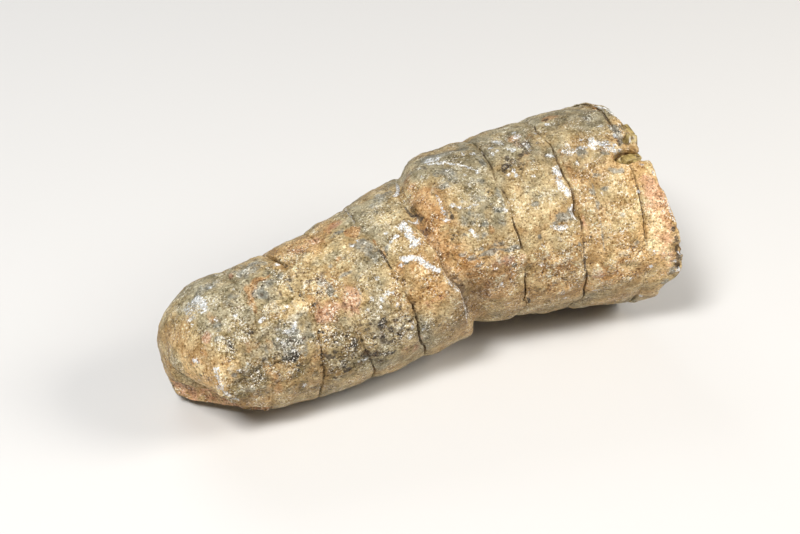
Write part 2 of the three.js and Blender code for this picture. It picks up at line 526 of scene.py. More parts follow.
STAINS: dict[Pigment, tuple[Mark, ...]] = {
    Pigment.CHALK: marks(
        Mark,
        (81.5, 28, 0.7, 1.4, 0.8), (81.3, 36, 0.8, 1.4, 0.9), (82, 41.5, 0.6, 1, 0.9), (82.2, 54, 0.3, 1.4),
        (79, 61, 1.1, 0.6, 0.8), (86, 18, 1.2, 0.7, 0.7), (91.3, 17, 1.2, 0.7, 0.8), (93, 22, 1, 0.8, 0.7),
        (78.7, -6, 0.9, 1, 0.6), (79, 5, 0.5, 1.4, 0.5), (75.5, -8, 0.7, 0.9, 0.6), (49.8, 19, 1, 0.9),
        (50.4, 22.6, 0.6, 0.8, 1, -20), (50.3, 28.4, 0.6, 1.2), (49.7, 33.4, 0.35, 0.4), (50.7, 33, 0.9, 0.8),
        (51.2, 34.7, 0.35, 0.3), (49.6, 25, 0.3, 0.3), (39.9, 13, 0.45, 0.3), (41.1, 11.6, 0.2, 0.25),
        (47.7, 23.2, 0.7, 0.18), (46.5, 25, 0.35, 0.2), (46.3, 17.5, 0.3, 0.35), (45.6, 0.8, 0.3, 0.3, 0.8),
        (39.5, 53, 0.35, 0.7, 0.8), (41.3, 56, 0.6, 0.5, 1, 30), (42.4, 54.3, 0.7, 0.22),
        (43.6, 55.2, 0.4, 0.3), (40.9, 60, 0.35, 0.35), (41.6, 41.8, 0.25, 0.3), (38.4, 58, 0.3, 0.25),
        (46.5, 83.3, 0.35, 0.8, 0.8), (46.1, 92.4, 0.5, 0.6, 0.6), (48.9, 91.8, 0.3, 0.3),
        (35.6, 93.8, 0.4, 0.5, 0.7), (36.9, 94.6, 0.5, 0.5, 0.8), (46.6, 42, 0.2, 0.2),
        # Painted highlight: (10, -3), (10.4, 7.5) and the broad faint (8.4, 1) put a bluish white sheen on
        # the top of the narrow end.
        (44.1, 64.5, 0.3, 0.3), (10, -3, 0.8, 1.2, 0.85), (10.4, 7.5, 0.9, 1.4, 0.8),
        (9.9, 13, 0.9, 0.5, 0.7), (8.4, 1, 1.6, 2.4, 0.45), (13.1, -8.6, 0.25, 0.35), (6.5, 12, 0.25, 0.45),
        (6.7, 18, 0.5, 0.3, 0.5), (16.6, 3.5, 0.3, 0.25, 0.7), (14.8, 27.5, 0.5, 0.22, 0.8),
        (11.2, 25, 0.25, 0.45, 0.7), (18.7, 38, 0.4, 0.35), (19.4, 37, 0.25, 0.3),
        (24.1, 34.2, 0.5, 0.25, 0.8, 30), (23.5, 36.6, 0.35, 0.3, 0.7), (26.2, -3.4, 0.4, 0.4),
        (4.4, 54.6, 0.45, 0.4), (5.2, 55.8, 0.3, 0.3, 0.6), (20.8, 54.4, 0.25, 0.5, 0.8, 40),
        (21.5, 58.5, 0.2, 0.6, 0.7, -40), (24.3, 49.7, 0.35, 0.8, 1, 30), (22.9, 51.6, 0.9, 0.25, 0.9, 20),
        (23.3, 66.7, 0.22, 0.3), (8.6, 63, 0.5, 0.5, 0.7), (8.5, 67, 0.35, 0.7, 0.6), (8.7, 78.2, 0.4, 0.5),
        (9.5, 82.6, 0.35, 0.5, 1, -30), (3.6, 82.5, 0.4, 0.5, 0.8), (11.2, 59.5, 0.35, 0.4, 0.5),
        (12.4, 68, 0.4, 0.5, 0.4), (24.5, 99, 0.4, 0.6, 0.6), (21, 88, 0.3, 0.4, 0.4),
        (61, -11, 0.9, 1, 0.65, 20), (62.6, -10, 0.5, 0.9, 0.75, 30), (62.7, -4.6, 0.9, 0.35, 0.85, -10),
        (58.3, -8, 0.5, 0.5, 0.5), (57.3, 1, 0.4, 0.8, 0.4), (67.4, 12.8, 0.5, 0.3, 1, -30),
        (64.8, 12, 0.35, 0.2, 0.6), (69, -3.8, 0.6, 0.6, 0.6), (67.3, -7, 0.35, 0.7, 0.7),
        (57.8, 24, 0.22, 1.1, 0.8), (57.8, 30, 0.22, 1.3, 0.8), (57.7, 38.2, 0.5, 0.4),
        (59.9, 31.2, 0.5, 0.25), (60.8, 33.5, 0.5, 0.25, 1, -20), (63, 35, 1.6, 0.15, 0.6, -4),
        (61.8, 52.4, 0.22, 0.5), (61.6, 49.5, 0.2, 0.4), (69.4, 42.8, 0.25, 0.4, 0.8),
        (62.4, 3.8, 0.35, 0.3, 0.6), (72.2, 1.8, 0.5, 0.25, 1, -30), (73.3, 0.8, 0.25, 0.5, 0.8, 30),
        (72.9, -3.8, 0.6, 0.4, 0.7, 30), (74.8, -10, 0.7, 0.4, 0.9, 40), (75.4, -4.5, 0.35, 0.6, 0.9, 40),
        (76.2, 5.2, 0.55, 0.65), (75.6, 2, 0.3, 0.4), (73.9, 19.5, 0.2, 0.5), (73.9, 23.5, 0.3, 0.7, 0.9),
        (72.6, 21, 0.45, 0.22, 0.8), (79.2, -12, 0.3, 0.6, 0.8, 40), (82.4, -4.6, 0.25, 0.5, 0.8),
        (81.6, 16.2, 0.7, 0.35, 0.9), (82.4, 17, 0.3, 0.3), (81.4, 26.5, 0.5, 0.6), (82, 28.5, 0.4, 0.9),
        (82.2, 24.8, 0.25, 0.4), (81.6, 33, 0.4, 0.6, 0.7), (77, 27.5, 0.5, 0.2, 0.7, 20),
        (84.8, 16.4, 0.45, 0.3), (86.1, 13.6, 0.4, 0.4, 0.8), (86, 26.6, 0.35, 0.6, 0.8),
        (87.5, 29.6, 0.35, 0.25, 0.7), (89, 12.4, 0.35, 0.35), (91, 13.6, 0.7, 0.45, 0.9),
        (90, 17.4, 0.5, 0.25, 0.8), (90.9, 15.6, 0.9, 0.4, 0.6, 10), (92.6, 17.6, 0.5, 0.45),
        (93.2, 21.5, 0.6, 0.6, 0.85), (94.6, 20.8, 0.4, 0.4), (94.3, 5.6, 0.5, 0.35, 0.8),
        (93.8, 18.6, 0.35, 0.35, 0.8), (95.6, 15.4, 0.4, 0.35), (95.2, 23.8, 0.5, 0.25),
        (86.2, -10.8, 0.5, 0.6, 0.9, 30), (79.3, 60.8, 0.9, 0.18, 1, 3), (77.3, 59.4, 0.5, 0.5, 0.6),
        (81.6, 51.8, 0.18, 0.5), (81.65, 54.6, 0.2, 0.6), (82.1, 57.4, 0.3, 0.25),
        (74.1, 81, 0.45, 0.45, 0.8), (74.8, 69.4, 0.3, 0.4, 0.7), (64.9, 76.2, 0.5, 0.35, 0.7, 20),
        (97.8, -11.5, 0.35, 0.9, 0.9), (98.3, -4, 0.3, 1.2, 0.6), (101.9, 82.6, 0.3, 0.35),
        (102.2, 88.2, 0.3, 0.3), (101.4, 93.4, 0.35, 0.3), (102.3, 99, 0.3, 0.6),
        (92.3, 18.4, 1.3, 0.5, 0.9, 20), (94, 23.4, 0.8, 0.6, 0.95, 30), (90.4, 20, 0.9, 0.4, 0.8),
        (99.1, 42, 0.35, 0.5, 0.7), (97.4, 36, 0.6, 0.5, 0.6), (99, 35.4, 0.4, 0.4, 0.7),
        (90.6, 69.6, 0.7, 0.35, 0.45), (99, 63.2, 0.5, 0.12, 0.8, -10), (97, 84.4, 0.3, 0.25, 0.8),
        (98.9, 87, 0.35, 0.35, 0.6), (96.5, 94, 0.6, 0.2, 0.8, -40), (101.2, 99, 0.4, 1, 0.5),
        (78.8, 105, 0.7, 0.7, 0.5), (80.2, 111.6, 0.7, 0.5, 0.5), (86.5, 109.6, 0.8, 0.3, 0.55),
        (97.4, 126, 0.25, 0.9, 0.8, -30), (79.6, 39.2, 0.6, 0.25, 0.5), (85.9, 47.8, 0.4, 0.3, 0.5),
        (88.2, 47, 0.2, 0.5, 0.5), (95.35, 49.6, 0.15, 0.25, 0.8), (67.8, 88, 0.3, 0.3, 0.5),
        (66, 88.5, 0.3, 0.5, 0.6), (68, 108, 1, 0.6, 0.35), (88.5, 90, 0.3, 0.2, 0.4),
        (92.8, 101, 0.3, 0.7, 0.4),
    ),
    Pigment.SLATE: marks(
        Mark,
        (11, 31.5, 0.9, 0.9, 0.7), (10.5, 40.8, 0.9, 0.5, 0.8), (8.4, 47, 0.7, 0.5, 0.5),
        (15.2, 12, 2.2, 1.6, 0.35), (13, -14, 3, 2.4, 0.4), (22, -14, 3.5, 3, 0.55),
        # Painted highlight: (7.5, 2) gives the top of the narrow end a bluish grey sheen.
        (22.6, 57, 2.6, 3.4, 0.6), (24.4, 64, 1.6, 2.6, 0.6), (26.5, 12, 1, 1.6, 0.5), (7.5, 2, 2, 3, 0.4),
        (22.6, 14, 2, 1.6, 0.7), (20.6, 18, 1.5, 0.8, 0.95, 35), (25.6, 8, 0.7, 1.4, 0.7),
        (26.2, 19, 0.35, 1.6, 0.6), (23.4, 52.9, 1.8, 0.8, 1, 15), (23.2, 69, 1.2, 1.4),
        (22.6, 72.5, 0.9, 0.6, 1, 20), (25.2, 72.8, 0.5, 0.4, 0.7), (21.2, 71.2, 0.5, 0.4, 0.8),
        (18.2, 59.5, 0.4, 0.8, 0.6), (18, 68, 0.35, 0.7, 0.5), (25.5, 46, 1.6, 1.4, 0.45),
        (24.8, 60, 1.8, 1.8, 0.35), (17.6, 28.5, 0.5, 0.8, 0.5), (27, 50, 0.8, 2.5, 0.5),
        (27.4, 66, 0.6, 1.8, 0.45), (26.5, 88, 0.8, 2, 0.4), (12.1, 47.5, 0.5, 1, 0.6),
        (11.6, 70.5, 0.6, 0.4, 0.6), (31.8, 28, 0.8, 1, 0.85), (32.8, 34.5, 0.7, 1.2, 0.85),
        (36.5, 29.2, 1.5, 0.4, 0.8, 5), (38.6, -4.5, 1.4, 0.6, 0.6), (36.6, -9.5, 0.8, 0.4, 0.5),
        (41.2, 14.5, 1.2, 1, 0.75), (42.2, 24, 1.6, 2.4, 0.6), (39.6, 12, 0.5, 0.5, 0.6),
        (45.3, 27.2, 0.45, 0.55), (48, -11, 1.6, 1, 0.6), (50, -16, 2.2, 2, 0.5), (46.5, -5, 1.6, 1.8, 0.45),
        (47.8, 41.8, 0.6, 0.35, 0.7), (51, 49.4, 0.22, 0.4, 0.9), (49.6, 26.8, 0.3, 0.4, 0.8),
        (34.6, 18, 0.5, 0.5, 0.5), (40.5, 53.5, 1.4, 1, 0.4), (37.9, 44, 0.2, 1.2, 0.5),
        (61.6, -16, 2.8, 1.8, 0.6), (66.8, -12, 3, 1.6, 0.4), (69.6, -22, 1.5, 2, 0.5),
        (69.4, 4, 0.7, 1.8, 0.55), (61.6, 8, 2.2, 2.2, 0.55), (60, 16, 1.4, 0.7, 0.7),
        (58.2, 34.5, 0.35, 0.8, 0.8), (61.4, 30.5, 0.7, 0.4, 0.7), (60.4, 35, 0.7, 0.6, 0.6),
        (62.4, 42, 2, 1.6, 0.5), (64.3, 47, 0.9, 0.7, 0.7), (68, 41.5, 0.9, 0.7, 0.7),
        (67.8, 47.5, 1, 1.2, 0.5), (69.2, 33, 0.6, 2.4, 0.5), (60.2, 50.8, 0.5, 0.4, 0.8),
        (62.7, 61.8, 0.6, 0.45, 0.9), (64.4, 65.3, 1.5, 0.5, 1, -3), (68.2, 66.4, 1.9, 0.5, 0.95),
        (66.4, 62, 1.6, 0.5, 0.6), (60.4, 66, 0.8, 0.5, 0.7), (59, 62.5, 0.6, 0.5, 0.6),
        (62, 71.5, 0.9, 0.2, 0.8, -12), (68.7, 77.4, 0.5, 0.5, 0.8), (66, 72.5, 0.9, 0.3, 0.5),
        (63.2, 54, 1.2, 0.9, 0.45), (66, 19, 2, 1, 0.35), (64.8, 30, 2, 1.2, 0.35),
        (75.2, 43.6, 0.8, 0.45, 0.9), (74.5, 35, 0.6, 0.4, 0.5), (79.6, 55.6, 1.7, 0.9, 1, 8),
        (92, 24.6, 0.9, 0.5, 0.9, 20), (77.8, 57.6, 0.8, 0.5, 0.7), (81, 53.4, 0.8, 0.8, 0.7),
        (74.4, 63.5, 0.35, 0.6, 0.9), (88, 20.5, 1.2, 1.4, 0.6), (87.8, 17.4, 0.3, 0.25),
        (92.6, 36, 1.3, 0.6, 0.85, 15), (88.4, 36.5, 1.2, 0.5, 0.6, 15), (89, 44.5, 0.8, 0.4, 0.7),
        (86.8, 44.5, 0.6, 0.7, 0.7), (91.2, 60.5, 0.6, 0.4, 0.5), (94, 61, 0.5, 0.4, 0.5),
        (90.6, 52, 1.4, 1, 0.3), (81.9, 72.6, 0.35, 0.4, 0.9), (93, -5, 1.4, 1.4, 0.4),
        (96.2, -14, 0.8, 2, 0.4), (97.2, 18.5, 0.35, 0.7), (96.3, 12, 0.8, 2, 0.8),
        (96.2, 18.5, 0.6, 1.2, 0.9), (98, 10.5, 0.6, 0.6, 0.8), (101, 100.5, 0.8, 1.6, 0.7),
        (100.3, 108, 0.8, 1.4, 0.8), (87.2, -7.5, 0.8, 0.8, 0.4), (93.4, 78, 0.7, 0.6, 0.4),
        (90.6, 24, 1.5, 1.2, 0.35), (92.8, 2, 1.2, 1, 0.35), (78.5, 72, 1.6, 0.8, 0.3),
    ),
    Pigment.TAR: marks(
        Mark,
        (38.3, 67.6, 0.35, 0.35), (40.6, 69.2, 0.5, 0.6, 0.9), (38.8, 79.2, 0.5, 0.5),
        (40.4, 81.5, 0.6, 0.6, 0.9), (37.8, 84.8, 0.7, 0.4, 0.9), (39, 91.8, 0.6, 0.4),
        (39.8, 94.6, 0.5, 0.3), (41.2, 96.2, 0.6, 0.3), (42.5, 98.8, 0.6, 0.35, 1, -20),
        (42.2, 89, 0.6, 0.35, 0.9, -20), (43.9, 90, 0.5, 0.4), (44, 82.2, 0.4, 0.5),
        (44.8, 80.2, 0.4, 0.4, 0.9), (43.5, 73.2, 0.4, 0.35, 0.9), (44.6, 67, 0.3, 0.8, 0.8),
        (32.2, 88, 0.45, 0.4), (32.5, 92.6, 0.35, 0.5), (34, 86.2, 0.35, 0.5), (33.5, 69.8, 0.4, 0.4, 0.8),
        (35.4, 74.8, 0.6, 0.4, 0.7), (30.8, 77.6, 0.35, 0.5, 0.9), (30.5, 100.6, 0.35, 0.5, 0.8),
        (29.2, 60.3, 0.4, 0.3), (28.5, 59.6, 0.3, 0.3), (29.05, 39.7, 0.25, 0.25), (51, 90, 0.4, 0.4, 0.9),
        (52, 92.8, 0.5, 0.3, 0.8), (41.8, 76.4, 0.4, 0.3, 0.7), (36.4, 66, 0.4, 0.3, 0.6),
        (31.4, 65.4, 0.5, 0.4, 0.6), (29.6, 66.5, 0.5, 0.6, 0.6), (31, 71, 0.3, 0.35, 0.8),
        (45.9, 76.4, 0.35, 0.4, 0.8), (33.6, 79, 0.3, 0.3, 0.7), (42.6, 84.8, 0.5, 0.3, 0.8, -20),
        (23.4, 70, 0.8, 1), (22.6, 73.6, 0.6, 0.35, 0.9), (23.5, 83, 0.35, 0.3, 0.9),
        (17.2, 65.3, 0.5, 0.25, 0.8), (19.5, 67.6, 0.3, 0.3, 0.8), (12.4, 50, 0.3, 0.5, 0.7),
        (4.8, 69.5, 0.4, 0.25), (6.6, 70, 0.3, 0.25, 0.8), (11.2, 42.4, 0.4, 0.2, 0.6),
        (16.4, 43.6, 0.6, 0.15, 0.8, 15), (23.9, 23.6, 0.5, 0.25, 0.6), (21.6, 24, 0.9, 0.25, 0.6),
        (43.8, 25.6, 0.25, 0.35, 0.9), (30, 23.4, 0.25, 0.25, 0.7), (27.4, 29.5, 0.25, 0.35, 0.6),
        (58.2, 49.2, 0.22, 0.22), (57.8, 51.4, 0.22, 0.25), (58.9, 36.4, 0.18, 1.1, 0.85),
        (59, -5, 0.3, 0.9, 0.7), (62.4, 15.5, 0.7, 0.4, 0.5), (67.4, 28.6, 0.3, 0.3, 0.7),
        (74.3, 8.8, 0.5, 0.8, 0.95, 20), (72.4, 17.2, 0.5, 0.9, 0.85), (73.4, 14.5, 1, 0.7, 0.7),
        (75.2, 13, 1.2, 0.9, 0.55), (76.9, 9.6, 0.8, 0.6, 0.85), (76, 17, 0.9, 0.7, 0.6),
        (79, 4, 1.6, 1.2, 0.5), (81.3, 5.8, 0.5, 0.4, 0.8), (78.6, 9.4, 1.2, 0.8, 0.55),
        (75.4, 20, 0.5, 0.3, 0.8), (82, 10.5, 0.4, 0.5, 0.5), (78, -2, 1, 0.6, 0.4),
        (87, -16.8, 0.6, 0.5, 0.8), (84.4, 69.8, 0.25, 0.25, 0.8), (65.2, 26.6, 0.4, 0.3, 0.5),
        (95.5, 16.6, 0.2, 0.2, 0.8), (95.6, 19.6, 0.2, 0.25, 0.8), (96.8, 21.6, 0.25, 0.3, 0.7),
        (100.6, 73.4, 0.4, 0.7), (101.1, 79.4, 0.5, 0.8, 0.95), (101.6, 85.4, 0.55, 0.9, 0.95),
        (101.8, 90.6, 0.5, 0.8, 0.95), (101.9, 96, 0.5, 0.9, 0.8), (101.3, 102, 0.5, 0.6, 0.6),
        (97.9, 11, 0.5, 0.8, 0.9), (97, 19.6, 0.7, 0.9), (95.6, 21, 0.3, 0.4, 0.9),
        (100.4, 102, 0.5, 0.5, 0.8), (87.6, 54, 0.4, 0.3, 0.5), (88.4, 80.5, 0.7, 0.25, 0.5, 30),
        (80, 82.5, 0.4, 0.3, 0.4), (82.2, 84, 0.5, 0.25, 0.5, -30),
    ),
    Pigment.RUST: marks(
        Mark,
        (21.6, 4.4, 1.3, 0.9, 1, 10), (20, 9, 0.9, 1.2, 1, 20), (19, 10.5, 0.7, 2.2, 0.95),
        (18.6, 19, 0.6, 2.2, 0.9), (23.6, 3.6, 0.6, 0.4, 0.6), (19, 57, 0.6, 1.2, 0.6),
        (19.6, 94.5, 0.7, 1.6, 0.75), (19.2, 85, 0.5, 1, 0.5), (41.4, 3, 1.3, 1.5, 0.9),
        (40.3, 0.6, 0.4, 1, 0.6), (36.4, 16.5, 0.6, 0.6, 0.9), (39, -17.5, 2.6, 1.6, 0.6),
        (33, -16, 3, 1.6, 0.4), (44.4, 32, 0.4, 2.2, 0.6), (43.8, 19.5, 0.3, 0.7, 0.7),
        (46.4, 44, 0.9, 1.2, 0.6), (49.5, 47, 1.4, 1.4, 0.45), (49.6, 53.2, 0.8, 0.6, 0.7),
        (51.2, 27.5, 0.35, 0.9, 0.7), (47.3, 61, 0.5, 1, 0.6), (52, 67, 2.2, 2.6, 0.45),
        (54.8, 6, 1.2, 2.8, 0.5), (55.6, 17, 1.7, 2.4, 0.75), (55.6, 28, 1.8, 2.6, 0.8),
        (56.2, 39, 1.9, 2.6, 0.7), (56.6, 48, 1.4, 2.4, 0.65), (57.8, 60, 1.8, 2.4, 0.5),
        (55.4, -12, 1, 3, 0.5), (53, 24, 0.5, 1.6, 0.8), (59.2, 68, 1.8, 2.2, 0.6), (61, 75, 2.6, 2.4, 0.75),
        (62.4, 84, 2.8, 2.4, 0.75), (65.5, 80, 3, 1.8, 0.6), (68, 84, 2.6, 2, 0.5), (58, 30.4, 0.3, 0.4, 0.9),
        (65.4, 52, 0.5, 0.9, 0.5), (65, 94, 3, 2.6, 0.5), (70, 79.5, 1, 1, 0.5), (66.5, 75, 1, 0.6, 0.4),
        (87.4, -18, 1.2, 0.8, 1, -30), (88.8, -15.5, 1, 0.8, 0.6), (78, -6, 1.6, 1.4, 0.5),
        (80.6, -1, 1, 1.4, 0.45), (84.2, 24, 0.8, 4, 0.45), (84, 36, 0.6, 2.5, 0.45),
        (83.4, 58, 0.5, 2.8, 0.6), (84.4, 69.6, 0.6, 0.5, 0.7), (92, 24, 2, 1.4, 0.35),
        (94.2, 30, 0.7, 1, 0.8), (84.4, 104, 1.2, 2.2, 0.6), (89, 95, 5, 3.4, 0.6), (54.2, 36, 1.3, 4.6, 0.8),
        (56.2, 55, 1.8, 3.4, 0.7), (18.5, 78, 1, 2.6, 0.55, -20), (3, 40, 2.4, 6, 0.15), (78, 84, 4, 3, 0.45),
        (76, 92, 3, 2.6, 0.4), (94, 92, 2.6, 2.2, 0.4), (95.6, 17.8, 0.35, 0.7, 0.9),
        (99.6, 101, 0.8, 0.9, 0.8), (7, 50, 0.7, 0.9, 0.8), (5, 57, 1.4, 1, 0.6), (15.8, 53.5, 1.6, 0.9, 0.5),
        (10.5, 21, 0.8, 1.2, 0.6), (77.2, 13, 1.8, 1.4, 0.4), (29, 34, 0.9, 0.9, 0.5),
        (33.6, 31, 0.3, 1, 0.7), (78, 100, 3, 2, 0.35),
    ),
    Pigment.CREAM: marks(
        Mark,
        (30.5, 14, 2.6, 6, 0.44), (36, 32, 4, 4, 0.36), (75.5, 46, 4, 7, 0.42), (92, 64, 5, 4, 0.42),
        (98, 72, 2.4, 6, 0.46), (74, 28, 2, 4, 0.36), (48, 10, 3, 4, 0.34), (31.2, 3.2, 1.7, 0.9),
        (29.4, 10.5, 1.4, 1.8, 0.95), (28.2, 20, 1, 2, 0.9), (32, 11, 0.8, 0.8, 0.5), (37, 22.6, 1.4, 1),
        (36, 24, 0.8, 1.2, 0.9), (37.4, -5.8, 1, 0.8, 0.9), (36, 4, 1, 0.9, 0.7), (34.8, 23.5, 0.4, 0.6, 0.9),
        (39.3, 38.4, 0.8, 0.6, 0.8), (30.6, 33.4, 1.4, 0.5, 0.9, 10), (33.5, 40, 0.45, 0.5),
        (31, 38.5, 0.6, 0.4, 0.8), (32.6, 19, 0.6, 0.8, 0.6), (27, 37, 0.8, 1.2, 0.6), (24.9, 20.6, 1, 1.5),
        (22.4, 28.6, 2, 0.4, 0.95, 2), (20, 31, 1, 0.4, 0.8, -10), (19.2, 41, 0.8, 0.6, 0.7),
        (21.6, 35.5, 1, 0.3, 0.6, 10), (28.7, -9, 0.4, 0.8, 0.8), (9.2, 65, 1, 1.4, 0.75),
        (9.8, 72, 0.8, 1, 0.6), (9.4, 55, 0.7, 1, 0.5), (5.2, 60, 1, 0.8, 0.6), (13, 57, 0.6, 0.9, 0.5),
        (45.2, 53.4, 0.3, 1.2, 0.9), (45.6, 62.4, 0.35, 1.2, 0.9), (45.7, 68.5, 0.4, 0.8, 0.9),
        (45.2, 74.6, 0.25, 1, 0.8), (49.6, 52.8, 0.4, 0.35, 0.8), (53.6, 86, 0.3, 1.8, 0.5),
        (54.4, 92, 0.8, 1, 0.5), (57, 42.5, 0.9, 0.7, 0.8), (58.6, 45.5, 0.9, 0.8, 0.6),
        (65.8, 43, 1, 1.6, 0.7), (67.4, 28.4, 1, 1, 0.7), (61.5, 46.5, 0.7, 0.8, 0.5),
        (59.4, 29.6, 0.5, 0.5, 0.7), (65, 59, 1.6, 0.8, 0.4), (72, 41, 1.1, 3.6, 0.8),
        (72.6, 53, 1.6, 2.4, 0.85), (74.4, 48.6, 1.2, 1.2, 0.7), (75.6, 52, 1.4, 1.6, 0.85),
        (72, 31, 0.9, 1.6, 0.5), (76.4, 37, 1.6, 1.2, 0.6), (77.6, 47.5, 1.4, 1.2, 0.5),
        (76, 62, 1.2, 0.9, 0.6), (72.6, 75.5, 0.6, 0.9, 0.7), (78.6, 31, 2, 1, 0.5), (80, 45, 1.2, 1.4, 0.4),
        (91.6, 46, 1.8, 1.4, 0.6), (90, 66, 2.6, 1.4, 0.75), (92.8, 68, 1.4, 1.6, 0.6),
        (88.4, 57, 1, 1.6, 0.4), (93.4, 54, 1.2, 1.6, 0.5), (90.5, 40, 2, 0.7, 0.5, 10),
        (96.8, 67, 1.2, 1.6, 0.7), (98.4, 72, 1.2, 1.6, 0.8), (97, 80, 1.6, 1.4, 0.8),
        (99.6, 84, 1, 1.4, 0.7), (87.6, 86.5, 1.4, 0.8, 0.7), (88.4, 91, 0.9, 0.8, 0.7),
        (92.6, 94.5, 1, 0.6, 0.5, 30), (99.4, 91, 0.8, 1, 0.7), (85.6, 55.5, 0.7, 0.5, 0.6, -20),
        (81, 67, 1.2, 0.8, 0.4), (84.8, 41, 0.6, 1, 0.4), (95.2, 8, 0.8, 0.8, 0.5), (15.6, 2.4, 1, 0.6, 0.5),
        (98.4, 38.5, 0.8, 0.9, 0.6), (75.2, 71.6, 0.8, 0.6, 0.6),
    ),
    Pigment.ROSE: marks(
        Mark,
        (8.4, 35.4, 0.9, 1.1, 0.85), (17.9, -16, 0.5, 0.9, 0.7), (30.6, 53.6, 1.9, 1, 0.85),
        (30.4, 49.5, 1.8, 2.2, 0.9), (36, 47, 1.7, 2.6, 0.95), (32.6, 52, 0.9, 0.7, 0.5),
        (34.4, 35, 0.7, 1.2, 0.35), (33, -10, 4.5, 1.8, 0.45), (39.5, -15, 2, 1.2, 0.45),
        (51, 74, 2, 1.2, 0.4), (66.5, 73, 3, 1.1, 0.6), (70.4, 73, 1, 1, 0.5), (78, 0.5, 1.8, 1.2, 0.35),
        (98.2, 64, 2, 4.4, 0.8), (98.8, 76, 2, 4.4, 0.85), (99.6, 88, 1.4, 3, 0.6),
        (30.4, 50.4, 2.2, 1.8, 0.9), (32.6, 48, 1.2, 1.2, 0.6), (97.6, 51, 1.6, 2.6, 0.95),
        (96.8, 44.5, 1, 1.2, 0.8), (99, 58, 1.2, 1.8, 0.8), (96.6, 59, 0.9, 1.6, 0.6),
        (100.2, 67, 0.6, 2, 0.6), (91.6, 28, 2, 1, 0.35), (83.6, 62, 0.5, 1.8, 0.4),
        (45.6, -16, 0.4, 0.4, 0.3), (86, 95, 1.8, 1.4, 0.35), (47, 104, 2.6, 2, 0.35),
        (58, 20, 0.6, 1.4, 0.4), (15.4, 50, 1.2, 0.8, 0.4),
    ),
    Pigment.OLIVE: marks(
        Mark,
        (30, 96, 9, 5, 0.42), (42, 98, 7, 4, 0.3), (16, 86, 7, 5, 0.2), (22, 56, 5, 5, 0.34),
        (55, 98, 3, 4, 0.3), (34, 74, 5, 4, 0.34), (15, 80, 3.6, 3, 0.85, -20), (24, 84, 2.4, 3, 0.6),
        (12, 62, 1.4, 1.6, 0.3), (23.6, 30.6, 1.4, 0.5, 0.9), (25.2, 29.4, 0.7, 0.6, 0.8),
        (19.8, 26.5, 0.9, 0.5, 0.6), (24, 105, 1.4, 1.2, 0.55), (17, 72, 1.6, 1.2, 0.5, -20),
        (20.6, 44, 1.4, 1.2, 0.45), (12.8, 38, 1.6, 1.4, 0.4), (63.4, 25, 2.6, 1.6, 0.3),
        (66.4, -4, 1.8, 1.4, 0.5), (77.2, 26, 2.4, 1, 0.3), (30.5, 70, 2, 1.8, 0.35), (79, 66, 2.4, 1.2, 0.3),
        (89.6, 74, 2, 1.2, 0.3), (78.5, 92, 2.4, 1.6, 0.45), (72.6, -9, 1.6, 2, 0.4),
        (53.4, 13, 0.3, 1.4, 0.7), (57.5, 92, 1, 1.6, 0.5), (61, 80, 1.8, 1.6, 0.35),
        (86.6, 60, 1.2, 1.4, 0.3),
    ),
}

